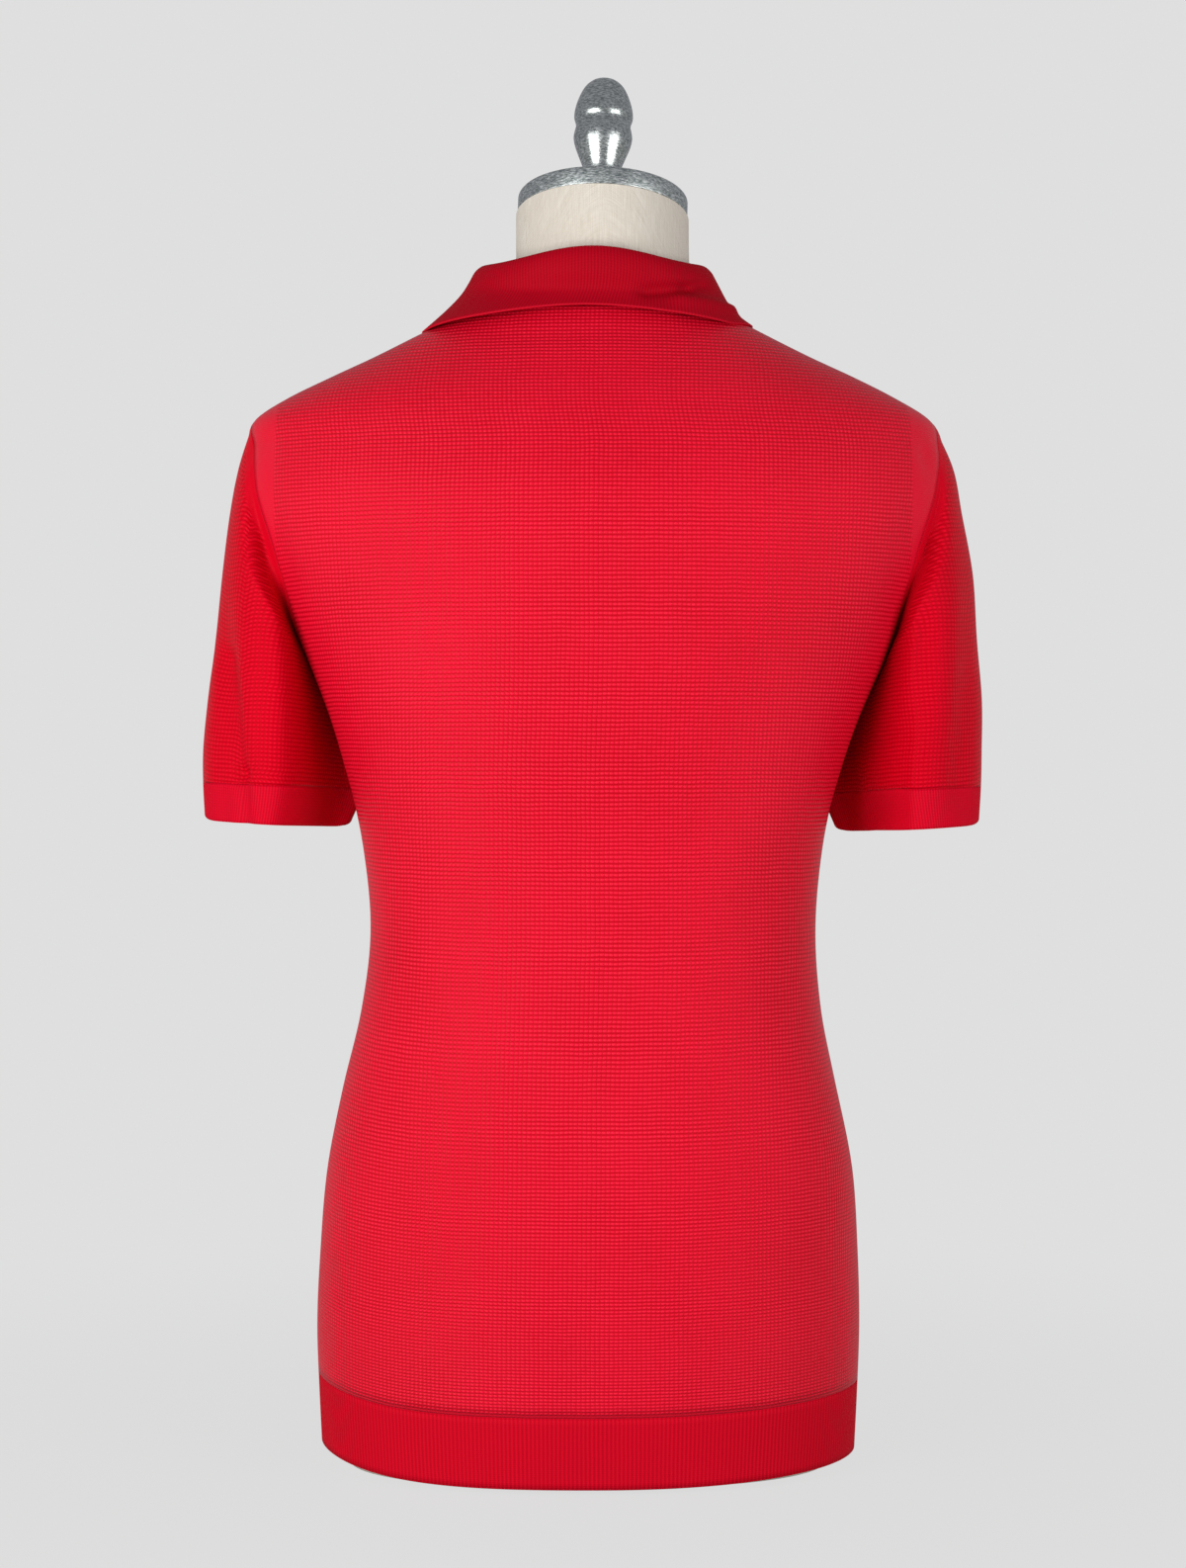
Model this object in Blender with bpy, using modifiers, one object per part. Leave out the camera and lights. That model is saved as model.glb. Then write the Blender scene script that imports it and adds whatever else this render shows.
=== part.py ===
"""A short-sleeved knitted polo shirt on a limbless dress form, at its real size.

Metres, +Z up. The shirt's back faces +Y, its front -Y, and the wearer's left is +X.
The origin is the middle of the form's flat base, on which the whole part stands.
The tables below are in millimetres. The body is one smooth surface through its horizontal
sections; the back, front, hem bands, plackets, sleeves, cuffs and collar are cut from that
surface or grown from its edges, as a maker joins them, 0.3 mm apart at each seam.
"""

import math
from collections import namedtuple

import bmesh
import bpy
import numpy as np

MM = 0.001
WALL = 1.5  # thickness of the knitted cloth
SEAM_GAP = 0.3

ARMPIT = 505.0  # height of the underarm point
TIP_X = 213.5  # shoulder tip, where the sleeve is set in
TIP_HEIGHT = 660.0
NECK_X = 78.0  # high point of the shoulder seam, at the neck
NECK_HEIGHT = 730.5
BACK_NECK_HEIGHT = 724.0
FRONT_NECK_HEIGHT = 688.0

SHOULDER_COLUMNS = 8
NECK_COLUMN_ANGLES = (0, 16, 31, 46, 62.5, 79, 90)  # degrees from shoulder to centre
NECK_COLUMNS = 2 * (len(NECK_COLUMN_ANGLES) - 1)
COLUMNS = 2 * SHOULDER_COLUMNS + NECK_COLUMNS  # from side seam to side seam
CENTRE = COLUMNS // 2
BODY_ROWS = 13  # from the hem band to the underarm
UPPER_ROWS = 12  # from the underarm to the shoulder
PLACKET_ROWS = 9  # of the upper rows, those that the front opening runs through

ARMHOLE_BACK = 44.5  # how far the armhole's curve reaches to the back and the front
ARMHOLE_FRONT = 50.0
ARMHOLE_ROUNDNESS = 0.59

# Horizontal sections of the shirt's outer side. fullness 2 is an ellipse, more is squarer.
Section = namedtuple("Section", "height half_width shift back front fullness")
SECTIONS = (
    Section(0, 168.5, 3, 111, 111, 2.30),
    Section(45, 170.7, 3, 115, 112, 2.30),
    Section(85, 172.0, 3, 118, 113, 2.35),
    Section(135, 170.4, 2.5, 117.5, 112.5, 2.35),
    Section(185, 166.6, 2, 113, 111, 2.35),
    Section(235, 157.0, 2, 106, 109.5, 2.35),
    Section(285, 146.2, 1, 99.5, 108.5, 2.35),
    Section(335, 141.4, 0, 96, 108.5, 2.35),
    Section(385, 145.8, 0, 98, 111, 2.35),
    Section(430, 155.5, 0, 104, 117, 2.35),
    Section(470, 168.0, -1, 110.5, 123, 2.35),
    Section(505, 182.5, -2, 116, 127, 2.30),
    Section(540, 197.0, -2, 118.5, 127, 2.30),
    Section(575, 211.0, -2, 119, 123.5, 2.30),
    Section(612, 222.5, -2, 115, 116, 2.20),
    Section(640, 220.5, -2, 105.5, 105.5, 2.10),
    Section(660, 213.5, 0.5, 97, 95, 2.00),
    Section(672, 194.5, 1, 91, 86.5, 2.00),
    Section(685, 168.5, 0.5, 83.5, 77, 2.00),
    Section(698, 140.5, 0.5, 76, 67.5, 2.00),
    Section(711, 114.5, 0.5, 68.5, 57, 2.00),
    Section(722, 93.0, 0, 62, 47.5, 2.00),
    Section(730.5, 78.0, 0, 57, 40, 2.00),
    Section(738, 64.0, 0, 53, 34, 2.00),
)

# The hem's edge is highest at the side seams. Its rib band is as deep all round.
HEM_BACK, HEM_FRONT = 2.8, 3.5
HEM_LEFT, HEM_LEFT_SWEEP = 14.0, 4  # a higher sweep keeps the rise nearer to the side
HEM_RIGHT, HEM_RIGHT_SWEEP = 9.0, 2
HEM_DEPTHS = (0, 22, 44)  # of the rows of the band

# Rings of a sleeve, from the armhole to the cuff. outer and inner are X of the edges away
# from and next to the body, back and front are Y, and the right sleeve hangs lower by drop.
# tuck is how far the sleeve's back is tucked in behind the body's side, from 0 to 1. The
# last two rings bound the cuff.
SleeveRing = namedtuple(
    "SleeveRing", "outer_height outer_left outer_right inner_height inner back front drop tuck"
)
SLEEVE_RINGS = (
    SleeveRing(630, 225.4, 229.0, 490, 176.0, 49.0, -59.0, 0.0, 0.45),
    SleeveRing(600, 231.4, 235.2, 479, 166.0, 52.5, -68.0, 0.0, 0.8),
    SleeveRing(562, 236.4, 242.8, 468, 158.0, 54.0, -73.0, 0.5, 0.95),
    SleeveRing(522, 240.8, 245.4, 457, 153.0, 53.0, -75.0, 1.0, 1.0),
    SleeveRing(484, 245.8, 248.6, 446, 149.5, 51.5, -75.0, 1.5, 1.0),
    SleeveRing(452, 249.0, 248.5, 435, 147.0, 50.0, -74.0, 2.0, 1.0),
    SleeveRing(429, 249.2, 248.0, 425, 148.0, 49.0, -73.5, 2.5, 1.0),
    SleeveRing(405, 248.2, 246.8, 400, 156.5, 47.5, -72.5, 3.0, 0.95),
)
SLEEVE_ROWS = (0.3, 0.65, 1, 1.5, 2, 3, 4, 5, 6, 7, 8)  # where they lie among the rings
SLEEVE_FULLNESS = 2.2
SLEEVE_OFF_BODY = 3.0  # the least that a sleeve stands off the body
TUCKED_Y = -36.0  # of the sleeve's inner edge, where its tuck is 1
TUCK_EVEN, TUCK_POWER = 0.2, 8  # how evenly and how steeply its back rises from there

# The largest folds of the sleeves, soft troughs that run down them, and ridges where the
# depth is below zero. An angle goes round the sleeve from its inner edge, 90 at the back
# and 180 at the outer edge.
Fold = namedtuple("Fold", "side top bottom angle_top angle_bottom spread depth")
SLEEVE_FOLDS = (
    Fold("left", 560, 400, 146, 126, 15, 4.5),
    Fold("left", 600, 420, 228, 242, 20, 3.5),
    Fold("right", 600, 400, 150, 126, 20, 3.0),
    Fold("right", 590, 420, 236, 226, 20, 3.5),
)

# The collar's middle line in section, from the neck seam up its stand, over the roll and
# down its fall: steps outward and upward from the seam at the centre back, the shoulder
# and the front end, how far the front end is spread from the centre line, how far the row
# has slipped to the wearer's left, how late it climbs from the shoulder to the centre back
# (1 is evenly), and the least it stands off the body.
CollarRow = namedtuple(
    "CollarRow",
    "out_back up_back out_side up_side out_front up_front spread skew climb off_body",
)
COLLAR_ROWS = (
    CollarRow(1.5, 14.0, -3.0, 11.0, 0.5, 9.0, 0.0, 0.0, 1.5, None),
    CollarRow(2.7, 28.0, -8.6, 20.5, 1.0, 16.0, 0.5, 0.0, 1.5, None),
    CollarRow(5.2, 35.4, -7.4, 25.0, 4.0, 20.0, 2.5, 0.0, 2.0, None),
    CollarRow(8.4, 30.0, -3.0, 22.0, 7.5, 17.5, 6.0, 0.0, 1.8, None),
    CollarRow(8.9, 21.0, 1.0, 15.0, 9.5, 9.5, 13.0, 0.0, 1.5, 4.0),
    CollarRow(6.2, 10.8, 5.8, 7.0, 10.0, -5.5, 22.5, 0.6, 1.2, 2.8),
    CollarRow(7.4, 5.0, 13.5, -3.0, 18.0, -24.0, 34.0, 2.4, 1.0, 2.0),
    CollarRow(10.2, -1.2, 25.6, -16.5, 28.0, -46.0, 47.5, 4.6, 0.9, 2.3),
)
COLLAR_END_GAP = 3.0  # between the collar's two ends at the centre front

BUTTON_PROFILE = ((5.0, 0.0), (5.5, 0.6), (5.5, 1.6), (4.9, 2.2), (3.9, 1.9), (3.5, 1.5))
BUTTON_HEIGHTS = (676, 621, 566)
PLACKET_OVERLAP = 0.8  # how far the upper band reaches past the lower on each side

# The dress form's neck, above the shirt's neckline, ends in a plane that slants down to the
# front and a little to the right.
NeckRing = namedtuple("NeckRing", "height half_width shift back front slant")
NECK_RINGS = (
    NeckRing(736, 62.0, -2.5, 56.5, -51.0, 0.0),
    NeckRing(744, 57.5, -4.5, 56.8, -56.5, 0.0),
    NeckRing(757, 55.4, -6.0, 55.8, -57.5, 0.25),
    NeckRing(772, 55.1, -6.0, 54.2, -58.8, 0.65),
    NeckRing(789, 55.1, -6.0, 52.5, -60.3, 1.0),
)
NECK_TILT = 12.5  # degrees, of the neck's top towards the front
NECK_LEAN = 1.8  # and towards the right
FORM_COLUMNS = 40
# The torso's rings and how far each is inside the shirt's outer side. The foot is drawn in.
FORM_HEIGHTS = (
    (0, 15, 34, 70, 115, 160, 205, 250, 295, 340, 385, 425, 465)
    + (500, 535, 570, 605, 630, 648, 660, 672, 685, 698, 711, 722)
)
FORM_CLEARANCES = (
    (17, 4, 3.6, 3.6, 3.6, 3.6, 3.6, 3.6, 3.6, 3.6, 3.6, 3.6, 3.6)
    + (3.6, 3.6, 3.8, 4.2, 4.8, 5.4, 5.4, 5.4, 5.4, 5.4, 6.2, 8.0)
)

CAP_CENTRE = (-6.0, -3.9, 789.4)  # middle of its underside
CAP_PROFILE = ((53.2, 0), (54.2, 1), (54.2, 10.8), (53.0, 12.2), (30.0, 13.0))
FINIAL_PROFILE = (
    (17.0, 0.0),
    (17.0, 2.6),
    (12.4, 5.0),
    (11.0, 11.0),
    (11.8, 19.0),
    (14.8, 27.5),
    (17.6, 35.0),
    (18.8, 40.5),
    (18.4, 44.5),
    (17.6, 48.2),
    (17.8, 51.0),
    (18.9, 55.2),
    (18.3, 61.0),
    (16.2, 68.0),
    (13.0, 74.7),
    (8.5, 79.2),
    (4.0, 80.6),
)
FINIAL_SEAT = (1.3, 0.0, 13.3)  # on the cap's top, from the middle of its underside

# ---------------------------------------------------------------- numbers and surfaces


def smooth_through(xs, ys, x):
    """A smooth curve through the numbers or points ys, which stand at xs, read at x."""
    xs, ys = np.asarray(xs, float), np.asarray(ys, float)
    slopes = np.gradient(ys, xs, axis=0)
    x = np.clip(x, xs[0], xs[-1])
    i = np.clip(np.searchsorted(xs, x) - 1, 0, len(xs) - 2)
    spread = x.shape + (1,) * (ys.ndim - 1)
    gap = (xs[i + 1] - xs[i]).reshape(spread)
    u = (x - xs[i]).reshape(spread) / gap
    rise = ys[i] * (1 + 2 * u) * (1 - u) ** 2 + ys[i + 1] * u**2 * (3 - 2 * u)
    return rise + gap * (slopes[i] * u * (1 - u) ** 2 - slopes[i + 1] * u**2 * (1 - u))


def section(height):
    """The body's section at a height, each field an array like height."""
    height = np.asarray(height, float)
    heights = [row.height for row in SECTIONS]
    fields = [
        smooth_through(heights, [getattr(row, name) for row in SECTIONS], height)
        for name in Section._fields[1:]
    ]
    return Section(height, *fields)


def signed_power(x, power):
    return np.sign(x) * np.abs(x) ** power


def unit(vectors):
    return vectors / np.maximum(np.linalg.norm(vectors, axis=-1, keepdims=True), 1e-12)


def depth_of(cut, facing):
    return cut.back if facing > 0 else cut.front


def on_section(angle, height, facing):
    """Points of the body where angle is 0 at the left side seam and pi at the right."""
    cut = section(height)
    x = cut.shift + cut.half_width * signed_power(np.cos(angle), 2 / cut.fullness)
    y = facing * depth_of(cut, facing) * np.abs(np.sin(angle)) ** (2 / cut.fullness)
    return np.stack([x, y, cut.height], axis=-1)


def column_angles(height, facing):
    """The angles of the columns at a height, evenly spaced along the section."""
    fine = np.linspace(0, math.pi, 721)
    points = on_section(fine, np.full_like(fine, height), facing)
    steps = np.linalg.norm(np.diff(points, axis=0), axis=1)
    along = np.concatenate([[0], np.cumsum(steps)])
    return np.interp(np.linspace(0, along[-1], COLUMNS + 1), along, fine)


def lower_row(share, depth, facing):
    """A row below the underarm, share of the way from depth above the hem's edge to it."""
    angle = column_angles(HEM_LEFT + depth + (ARMPIT - HEM_LEFT - depth) * share, facing)
    sideways = np.abs(np.cos(angle))
    centre = HEM_BACK if facing > 0 else HEM_FRONT
    to_left = (HEM_LEFT - centre) * sideways**HEM_LEFT_SWEEP
    to_right = (HEM_RIGHT - centre) * sideways**HEM_RIGHT_SWEEP
    edge = centre + np.where(np.cos(angle) > 0, to_left, to_right)
    height = (edge + depth) * (1 - share) + ARMPIT * share
    return on_section(angle, height, facing)


def shoulder_height(x):
    """Height of the shoulder's ridge at a distance from the centre line."""
    heights = np.linspace(TIP_HEIGHT, NECK_HEIGHT, 400)
    widths = section(heights).half_width
    return np.interp(x, widths[::-1], heights[::-1])


def top_row(facing):
    """X and height of the columns' upper ends, along the shoulder seams and the neckline."""
    seam = np.linspace(TIP_X, NECK_X, SHOULDER_COLUMNS + 1)[:-1]
    neck = NECK_X * np.cos(np.radians(NECK_COLUMN_ANGLES))
    centre_height = BACK_NECK_HEIGHT if facing > 0 else FRONT_NECK_HEIGHT
    dip = 3.0 if facing > 0 else 2.0
    neck_heights = centre_height + (NECK_HEIGHT - centre_height) * (neck / NECK_X) ** dip
    x = np.concatenate([seam, neck])
    height = np.concatenate([shoulder_height(seam), neck_heights])
    return np.concatenate([x, -x[-2::-1]]), np.concatenate([height, height[-2::-1]])


def upper_row(share, facing):
    """A row between the underarm and the shoulder, share of the way up."""
    top_x, top_height = top_row(facing)
    rise = (1 - math.cos(math.pi * share)) / 2
    height = ARMPIT + (top_height - ARMPIT) * rise
    cut = section(height)
    depth = depth_of(cut, facing)
    reach = ARMHOLE_BACK if facing > 0 else ARMHOLE_FRONT
    armhole_y = reach * math.sin(math.pi * rise) ** ARMHOLE_ROUNDNESS
    n = cut.fullness[0]
    armhole_x = cut.half_width[0] * (1 - (armhole_y / depth[0]) ** n) ** (1 / n)
    angle = column_angles(ARMPIT, facing)
    start = signed_power(np.cos(angle), 2 / section(ARMPIT).fullness)
    from_centre = armhole_x * (start * (1 - share) + top_x / TIP_X * share)
    across = np.clip(np.abs(from_centre) / cut.half_width, 0, 1)
    y = facing * depth * (1 - across**cut.fullness) ** (1 / cut.fullness)
    if share == 1:
        y[: SHOULDER_COLUMNS + 1] = y[-SHOULDER_COLUMNS - 1 :] = 0
    return np.stack([cut.shift + from_centre, y, height], axis=-1)


def body_grid(facing):
    """Rows of points from the hem to the shoulder, each from the left side to the right."""
    hem = [lower_row(0, depth, facing) for depth in HEM_DEPTHS]
    body = [
        lower_row(k / BODY_ROWS, HEM_DEPTHS[-1], facing) for k in range(1, BODY_ROWS + 1)
    ]
    upper = [upper_row(k / UPPER_ROWS, facing) for k in range(1, UPPER_ROWS + 1)]
    return np.array(hem + body + upper)


def off_body(points):
    """How far points are outside the body's surface, and the surface's outward direction."""

    def excess(p):
        cut = section(p[..., 2])
        depth = np.where(p[..., 1] > 0, cut.back, cut.front)
        across = np.abs((p[..., 0] - cut.shift) / cut.half_width) ** cut.fullness
        along = np.abs(p[..., 1] / depth) ** cut.fullness
        return (across + along) ** (1 / cut.fullness) - 1

    step = 0.05
    here = excess(points)
    slope = np.stack(
        [(excess(points + step * axis) - excess(points - step * axis)) for axis in np.eye(3)],
        axis=-1,
    ) / (2 * step)
    size = np.linalg.norm(slope, axis=-1)
    return here / size, slope / size[..., None]


def clear_of_body(points, least):
    """The points, with those nearer than least to the body's outer side moved out to it."""
    for _ in range(4):
        gap, normal = off_body(points)
        points = points + normal * np.maximum(least - gap, 0)[..., None]
    return points


def sleeve_ring(ring, side, columns):
    """Points round a sleeve, from its inner edge through the back to the outer edge."""
    sign = 1 if side == "left" else -1
    outer = ring.outer_left if side == "left" else ring.outer_right
    angle = 2 * math.pi * np.arange(columns) / columns
    inward = signed_power(np.cos(angle), 2 / SLEEVE_FULLNESS)
    backward = signed_power(np.sin(angle), 2 / SLEEVE_FULLNESS)
    x = (ring.inner + outer) / 2 + (ring.inner - outer) / 2 * inward
    middle = (ring.back + ring.front) / 2
    inner_y = np.where(inward > 0, middle + (TUCKED_Y - middle) * ring.tuck, middle)
    from_inner = np.clip(angle / (math.pi / 2), 0, 1)
    steep = TUCK_EVEN * from_inner + (1 - TUCK_EVEN) * np.abs(np.sin(angle)) ** TUCK_POWER
    hollow = ring.tuck * (angle < math.pi / 2)
    to_back = backward * (1 - hollow) + steep * hollow
    to_front = -backward * (ring.front - inner_y)
    y = inner_y + np.where(backward > 0, to_back * (ring.back - inner_y), to_front)
    z = (ring.inner_height + ring.outer_height) / 2
    z = z + (ring.inner_height - ring.outer_height) / 2 * inward
    z = z - (0 if side == "left" else ring.drop)
    points = np.stack([x, y, z], axis=-1)
    centre = points.mean(axis=0)
    for fold in SLEEVE_FOLDS:
        if fold.side != side:
            continue
        down = (fold.top - z) / (fold.top - fold.bottom)
        middle = np.radians(fold.angle_top + (fold.angle_bottom - fold.angle_top) * down)
        across = (angle - middle) / math.radians(fold.spread)
        strength = np.clip(4 * down * (1.25 - down), 0, 1) * (down > 0)
        sink = fold.depth * strength * np.exp(-(across**2))
        towards = unit((centre - points) * [1, 1, 0])
        points = points + sink[:, None] * towards
    return points * [sign, 1, 1]


def sleeve_rows(armhole, side):
    """The rows of a sleeve below its armhole, on a smooth surface through its rings."""
    rings = [armhole, *(sleeve_ring(ring, side, len(armhole)) for ring in SLEEVE_RINGS)]
    rows = smooth_through(np.arange(len(rings)), rings, np.array(SLEEVE_ROWS, float))
    return clear_of_body(rows, SLEEVE_OFF_BODY)


def collar_grid(neckline):
    """Rows of the collar above its neck seam. neckline goes from the centre front over the
    left shoulder, round the back and over the right shoulder to the centre front again."""
    corner = len(NECK_COLUMN_ANGLES) - 1
    angles = np.radians(NECK_COLUMN_ANGLES)
    to_shoulder = angles[::-1]
    quarter = np.concatenate([to_shoulder, angles[1:]])
    round_neck = np.concatenate([quarter, quarter[-2::-1]])
    count = len(neckline)
    is_back = np.zeros(count, bool)
    is_back[corner : count - corner] = True
    centred = np.sin(round_neck) ** 2
    ahead = np.roll(neckline, -1, axis=0) - np.roll(neckline, 1, axis=0)
    ahead[0] = neckline[1] - neckline[0] * [-1, 1, 1]
    ahead[0, 1:] = 0
    ahead[-1] = ahead[0]
    outward = unit(np.stack([-ahead[:, 1], ahead[:, 0], 0 * ahead[:, 0]], axis=-1))
    outward = outward * np.sign((outward * (neckline * [1, 1, 0])).sum(axis=1))[:, None]
    leftward = np.where(np.arange(count) < count // 2, 1.0, -1.0)
    rows = []
    for row in COLLAR_ROWS:
        out_centre = np.where(is_back, row.out_back, row.out_front)
        out = row.out_side + (out_centre - row.out_side) * centred
        up_centre = np.where(is_back, row.up_back, row.up_front)
        climbed = np.where(is_back, centred**row.climb, centred)
        up = row.up_side + (up_centre - row.up_side) * climbed
        spread = np.where(is_back, 0, row.spread * centred**3) * leftward
        points = neckline + outward * out[:, None]
        points[:, 2] += up
        points[:, 0] += spread + row.skew
        if row.off_body is not None:
            points = clear_of_body(points, row.off_body)
        rows.append(points)
    return np.array(rows)


# ---------------------------------------------------------------- meshes


def grid_faces(indices, closed=False, flip=False):
    """Four-cornered faces between the rows of a grid of point numbers."""
    rows, columns = indices.shape
    faces = []
    for r in range(rows - 1):
        for c in range(columns if closed else columns - 1):
            d = (c + 1) % columns
            face = (indices[r, c], indices[r, d], indices[r + 1, d], indices[r + 1, c])
            faces.append(face[::-1] if flip else face)
    return faces


def point_normals(points, faces):
    """Unit normals of the points, each the mean of the faces round it."""
    faces = np.array(faces)
    corners = points[faces]
    across = np.cross(corners[:, 2] - corners[:, 0], corners[:, 3] - corners[:, 1])
    total = np.zeros_like(points)
    for k in range(faces.shape[1]):
        np.add.at(total, faces[:, k], unit(across))
    return unit(total)


def border_of(faces):
    """Directed border edges of a set of faces."""
    edges = [(a, b) for face in faces for a, b in zip(face, face[1:] + face[:1])]
    known = set(edges)
    return [(a, b) for a, b in edges if (b, a) not in known]


def link(name, mesh, material, collection):
    mesh.materials.append(material)
    thing = bpy.data.objects.new(name, mesh)
    collection.objects.link(thing)
    return thing


def cloth(name, points, faces, inward, material, collection, wall=WALL):
    """A panel as a closed wall: its outer side through the points, its inner side a wall's
    thickness along inward, and its border drawn back by half a seam's gap."""
    faces = [tuple(int(i) for i in face) for face in faces]
    border = border_of(faces)
    after, before = dict(border), {b: a for a, b in border}
    middles = {}
    for face in faces:
        middle = points[list(face)].mean(axis=0)
        for i in face:
            middles.setdefault(i, []).append(middle)
    shift = {}
    for i in after:
        along = unit(points[after[i]] - points[before[i]])
        away = unit(np.cross(along, inward[i]))
        inside = np.mean(middles[i], axis=0) - points[i]
        turn = unit(points[after[i]] - points[i]) @ unit(points[before[i]] - points[i])
        corner = 1 / max(math.sqrt((1 - turn) / 2), 0.5)
        shift[i] = away * math.copysign(SEAM_GAP / 2 * corner, away @ inside)
    used = sorted(middles)
    number = {i: k for k, i in enumerate(used)}
    outer = np.array([points[i] + shift.get(i, 0) for i in used])
    inner = outer + wall * inward[used]
    count = len(used)
    shell = [tuple(number[i] for i in face) for face in faces]
    shell += [tuple(number[i] + count for i in face[::-1]) for face in faces]
    for a, b in border:
        shell.append((number[b], number[a], number[a] + count, number[b] + count))
    mesh = bpy.data.meshes.new(name)
    mesh.from_pydata((np.concatenate([outer, inner]) * MM).tolist(), [], shell)
    mesh.shade_smooth()
    mesh.set_sharp_from_angle(angle=math.radians(50))
    return link(name, mesh, material, collection)


def turned(name, profile, material, collection, steps=32):
    """A turned solid from (radius, height) pairs, its outline read from bottom to top and
    closed on the axis at both ends."""
    pairs = [(0.0, profile[0][1]), *profile, (0.0, profile[-1][1])]
    mesh = bpy.data.meshes.new(name)
    points = [(radius * MM, 0, height * MM) for radius, height in reversed(pairs)]
    mesh.from_pydata(points, [(i, i + 1) for i in range(len(points) - 1)], [])
    thing = link(name, mesh, material, collection)
    screw = thing.modifiers.new("turn", "SCREW")
    screw.steps = screw.render_steps = steps
    screw.use_merge_vertices = True
    screw.merge_threshold = 0.00001
    screw.use_smooth_shade = True
    return thing


def make_material(name, colour, roughness, metallic=0.0):
    material = bpy.data.materials.new(name)
    material.use_nodes = True
    surface = material.node_tree.nodes["Principled BSDF"]
    surface.inputs["Base Color"].default_value = (*colour, 1)
    surface.inputs["Roughness"].default_value = roughness
    surface.inputs["Metallic"].default_value = metallic
    return material


# ---------------------------------------------------------------- the shirt


class Shirt:
    """The shirt's welded outer surface: its points, the panels' faces and the direction
    from each point into the cloth."""

    def __init__(self):
        self.points = np.zeros((0, 3))
        back, front = body_grid(1), body_grid(-1)
        self.back = self.add(back)
        self.front = self.add(front)
        self.share_seams()
        self.hem_top = len(HEM_DEPTHS) - 1
        self.underarm = self.hem_top + BODY_ROWS
        self.top = self.underarm + UPPER_ROWS
        self.sleeves = {
            side: self.add_sleeve(side, 0 if side == "left" else COLUMNS)
            for side in ("left", "right")
        }
        self.collar = self.add_collar()
        self.find_directions()

    def add(self, grid):
        """Adds a grid of points and returns their numbers."""
        start = len(self.points)
        self.points = np.concatenate([self.points, grid.reshape(-1, 3)])
        return np.arange(start, len(self.points)).reshape(grid.shape[:-1])

    def share_seams(self):
        """The front uses the back's points along the side and shoulder seams."""
        joined = len(HEM_DEPTHS) + BODY_ROWS
        for column in (0, COLUMNS):
            self.front[:joined, column] = self.back[:joined, column]
        for columns in (slice(0, SHOULDER_COLUMNS + 1), slice(-SHOULDER_COLUMNS - 1, None)):
            self.front[-1, columns] = self.back[-1, columns]

    def add_sleeve(self, side, column):
        up_back = self.back[self.underarm : self.top + 1, column]
        down_front = self.front[self.underarm + 1 : self.top, column][::-1]
        armhole = np.concatenate([up_back, down_front])
        rows = self.add(sleeve_rows(self.points[armhole], side))
        return np.vstack([armhole[None], rows])

    def add_collar(self):
        first, last = SHOULDER_COLUMNS, COLUMNS - SHOULDER_COLUMNS
        left = self.front[self.top, first : CENTRE + 1][::-1]
        across = self.back[self.top, first + 1 : last]
        right = self.front[self.top, CENTRE : last + 1][::-1]
        loop = np.concatenate([left, across, right])
        neckline = self.points[loop].copy()
        neckline[0, 0] = COLLAR_END_GAP / 2
        neckline[-1, 0] = -COLLAR_END_GAP / 2
        ends = self.add(neckline[[0, -1]])
        loop[0], loop[-1] = ends
        rows = self.add(collar_grid(neckline))
        return np.vstack([loop[None], rows])

    def find_directions(self):
        """Each seam's point gets one direction for both its panels, so that they meet as a
        mitre. The collar's rows are its middle, and are moved to the side of the stand that
        carries on from the body's outer side."""
        body_faces = grid_faces(self.back) + grid_faces(self.front, flip=True)
        groups = [point_normals(self.points, body_faces)]
        for side, rings in self.sleeves.items():
            faces = grid_faces(rings, closed=True, flip=side == "right")
            groups.append(point_normals(self.points, faces))
        collar_normals = point_normals(self.points, grid_faces(self.collar))
        groups.append(collar_normals)
        total = np.sum(groups, axis=0)
        mitre = unit(total)
        counts = np.sum([np.linalg.norm(g, axis=1) > 0.5 for g in groups], axis=0)
        lean = np.linalg.norm(total, axis=1) / np.maximum(counts, 1)
        self.inward = -mitre / np.maximum(lean, 0.6)[:, None]
        body = groups[0]
        for end in (self.collar[0, 0], self.collar[0, -1]):
            centre = self.front[self.top, CENTRE]
            self.inward[end] = -unit(body[centre] + collar_normals[end])
        raised = self.collar[1:].reshape(-1)
        self.points[raised] += WALL / 2 * collar_normals[raised]


def make_shirt(collection, materials):
    shirt = Shirt()
    knit, rib = materials["knit"], materials["rib"]

    def panel(name, faces, material, points=shirt.points):
        return cloth(name, points, faces, shirt.inward, material, collection)

    hem, top = shirt.hem_top, shirt.top
    for name, grid, flip in (("back", shirt.back, False), ("front", shirt.front, True)):
        panel(f"hem_{name}", grid_faces(grid[: hem + 1], flip=flip), rib)
    panel("back", grid_faces(shirt.back[hem:]), knit)

    opening = top - PLACKET_ROWS
    slot = shirt.front[opening:, CENTRE - 1 : CENTRE + 2]
    slot_faces = grid_faces(slot, flip=True)
    front_faces = grid_faces(shirt.front[hem:], flip=True)
    panel("front", [face for face in front_faces if face not in slot_faces], knit)
    panel("placket_under", slot_faces, rib)
    make_placket_over(shirt, slot, slot_faces, collection, rib)

    for side, rings in shirt.sleeves.items():
        flip = side == "right"
        panel(f"sleeve_{side}", grid_faces(rings[:-1], closed=True, flip=flip), knit)
        panel(f"cuff_{side}", grid_faces(rings[-2:], closed=True, flip=flip), rib)
    panel("collar", grid_faces(shirt.collar), rib)
    make_buttons(collection, materials["button"])


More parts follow.
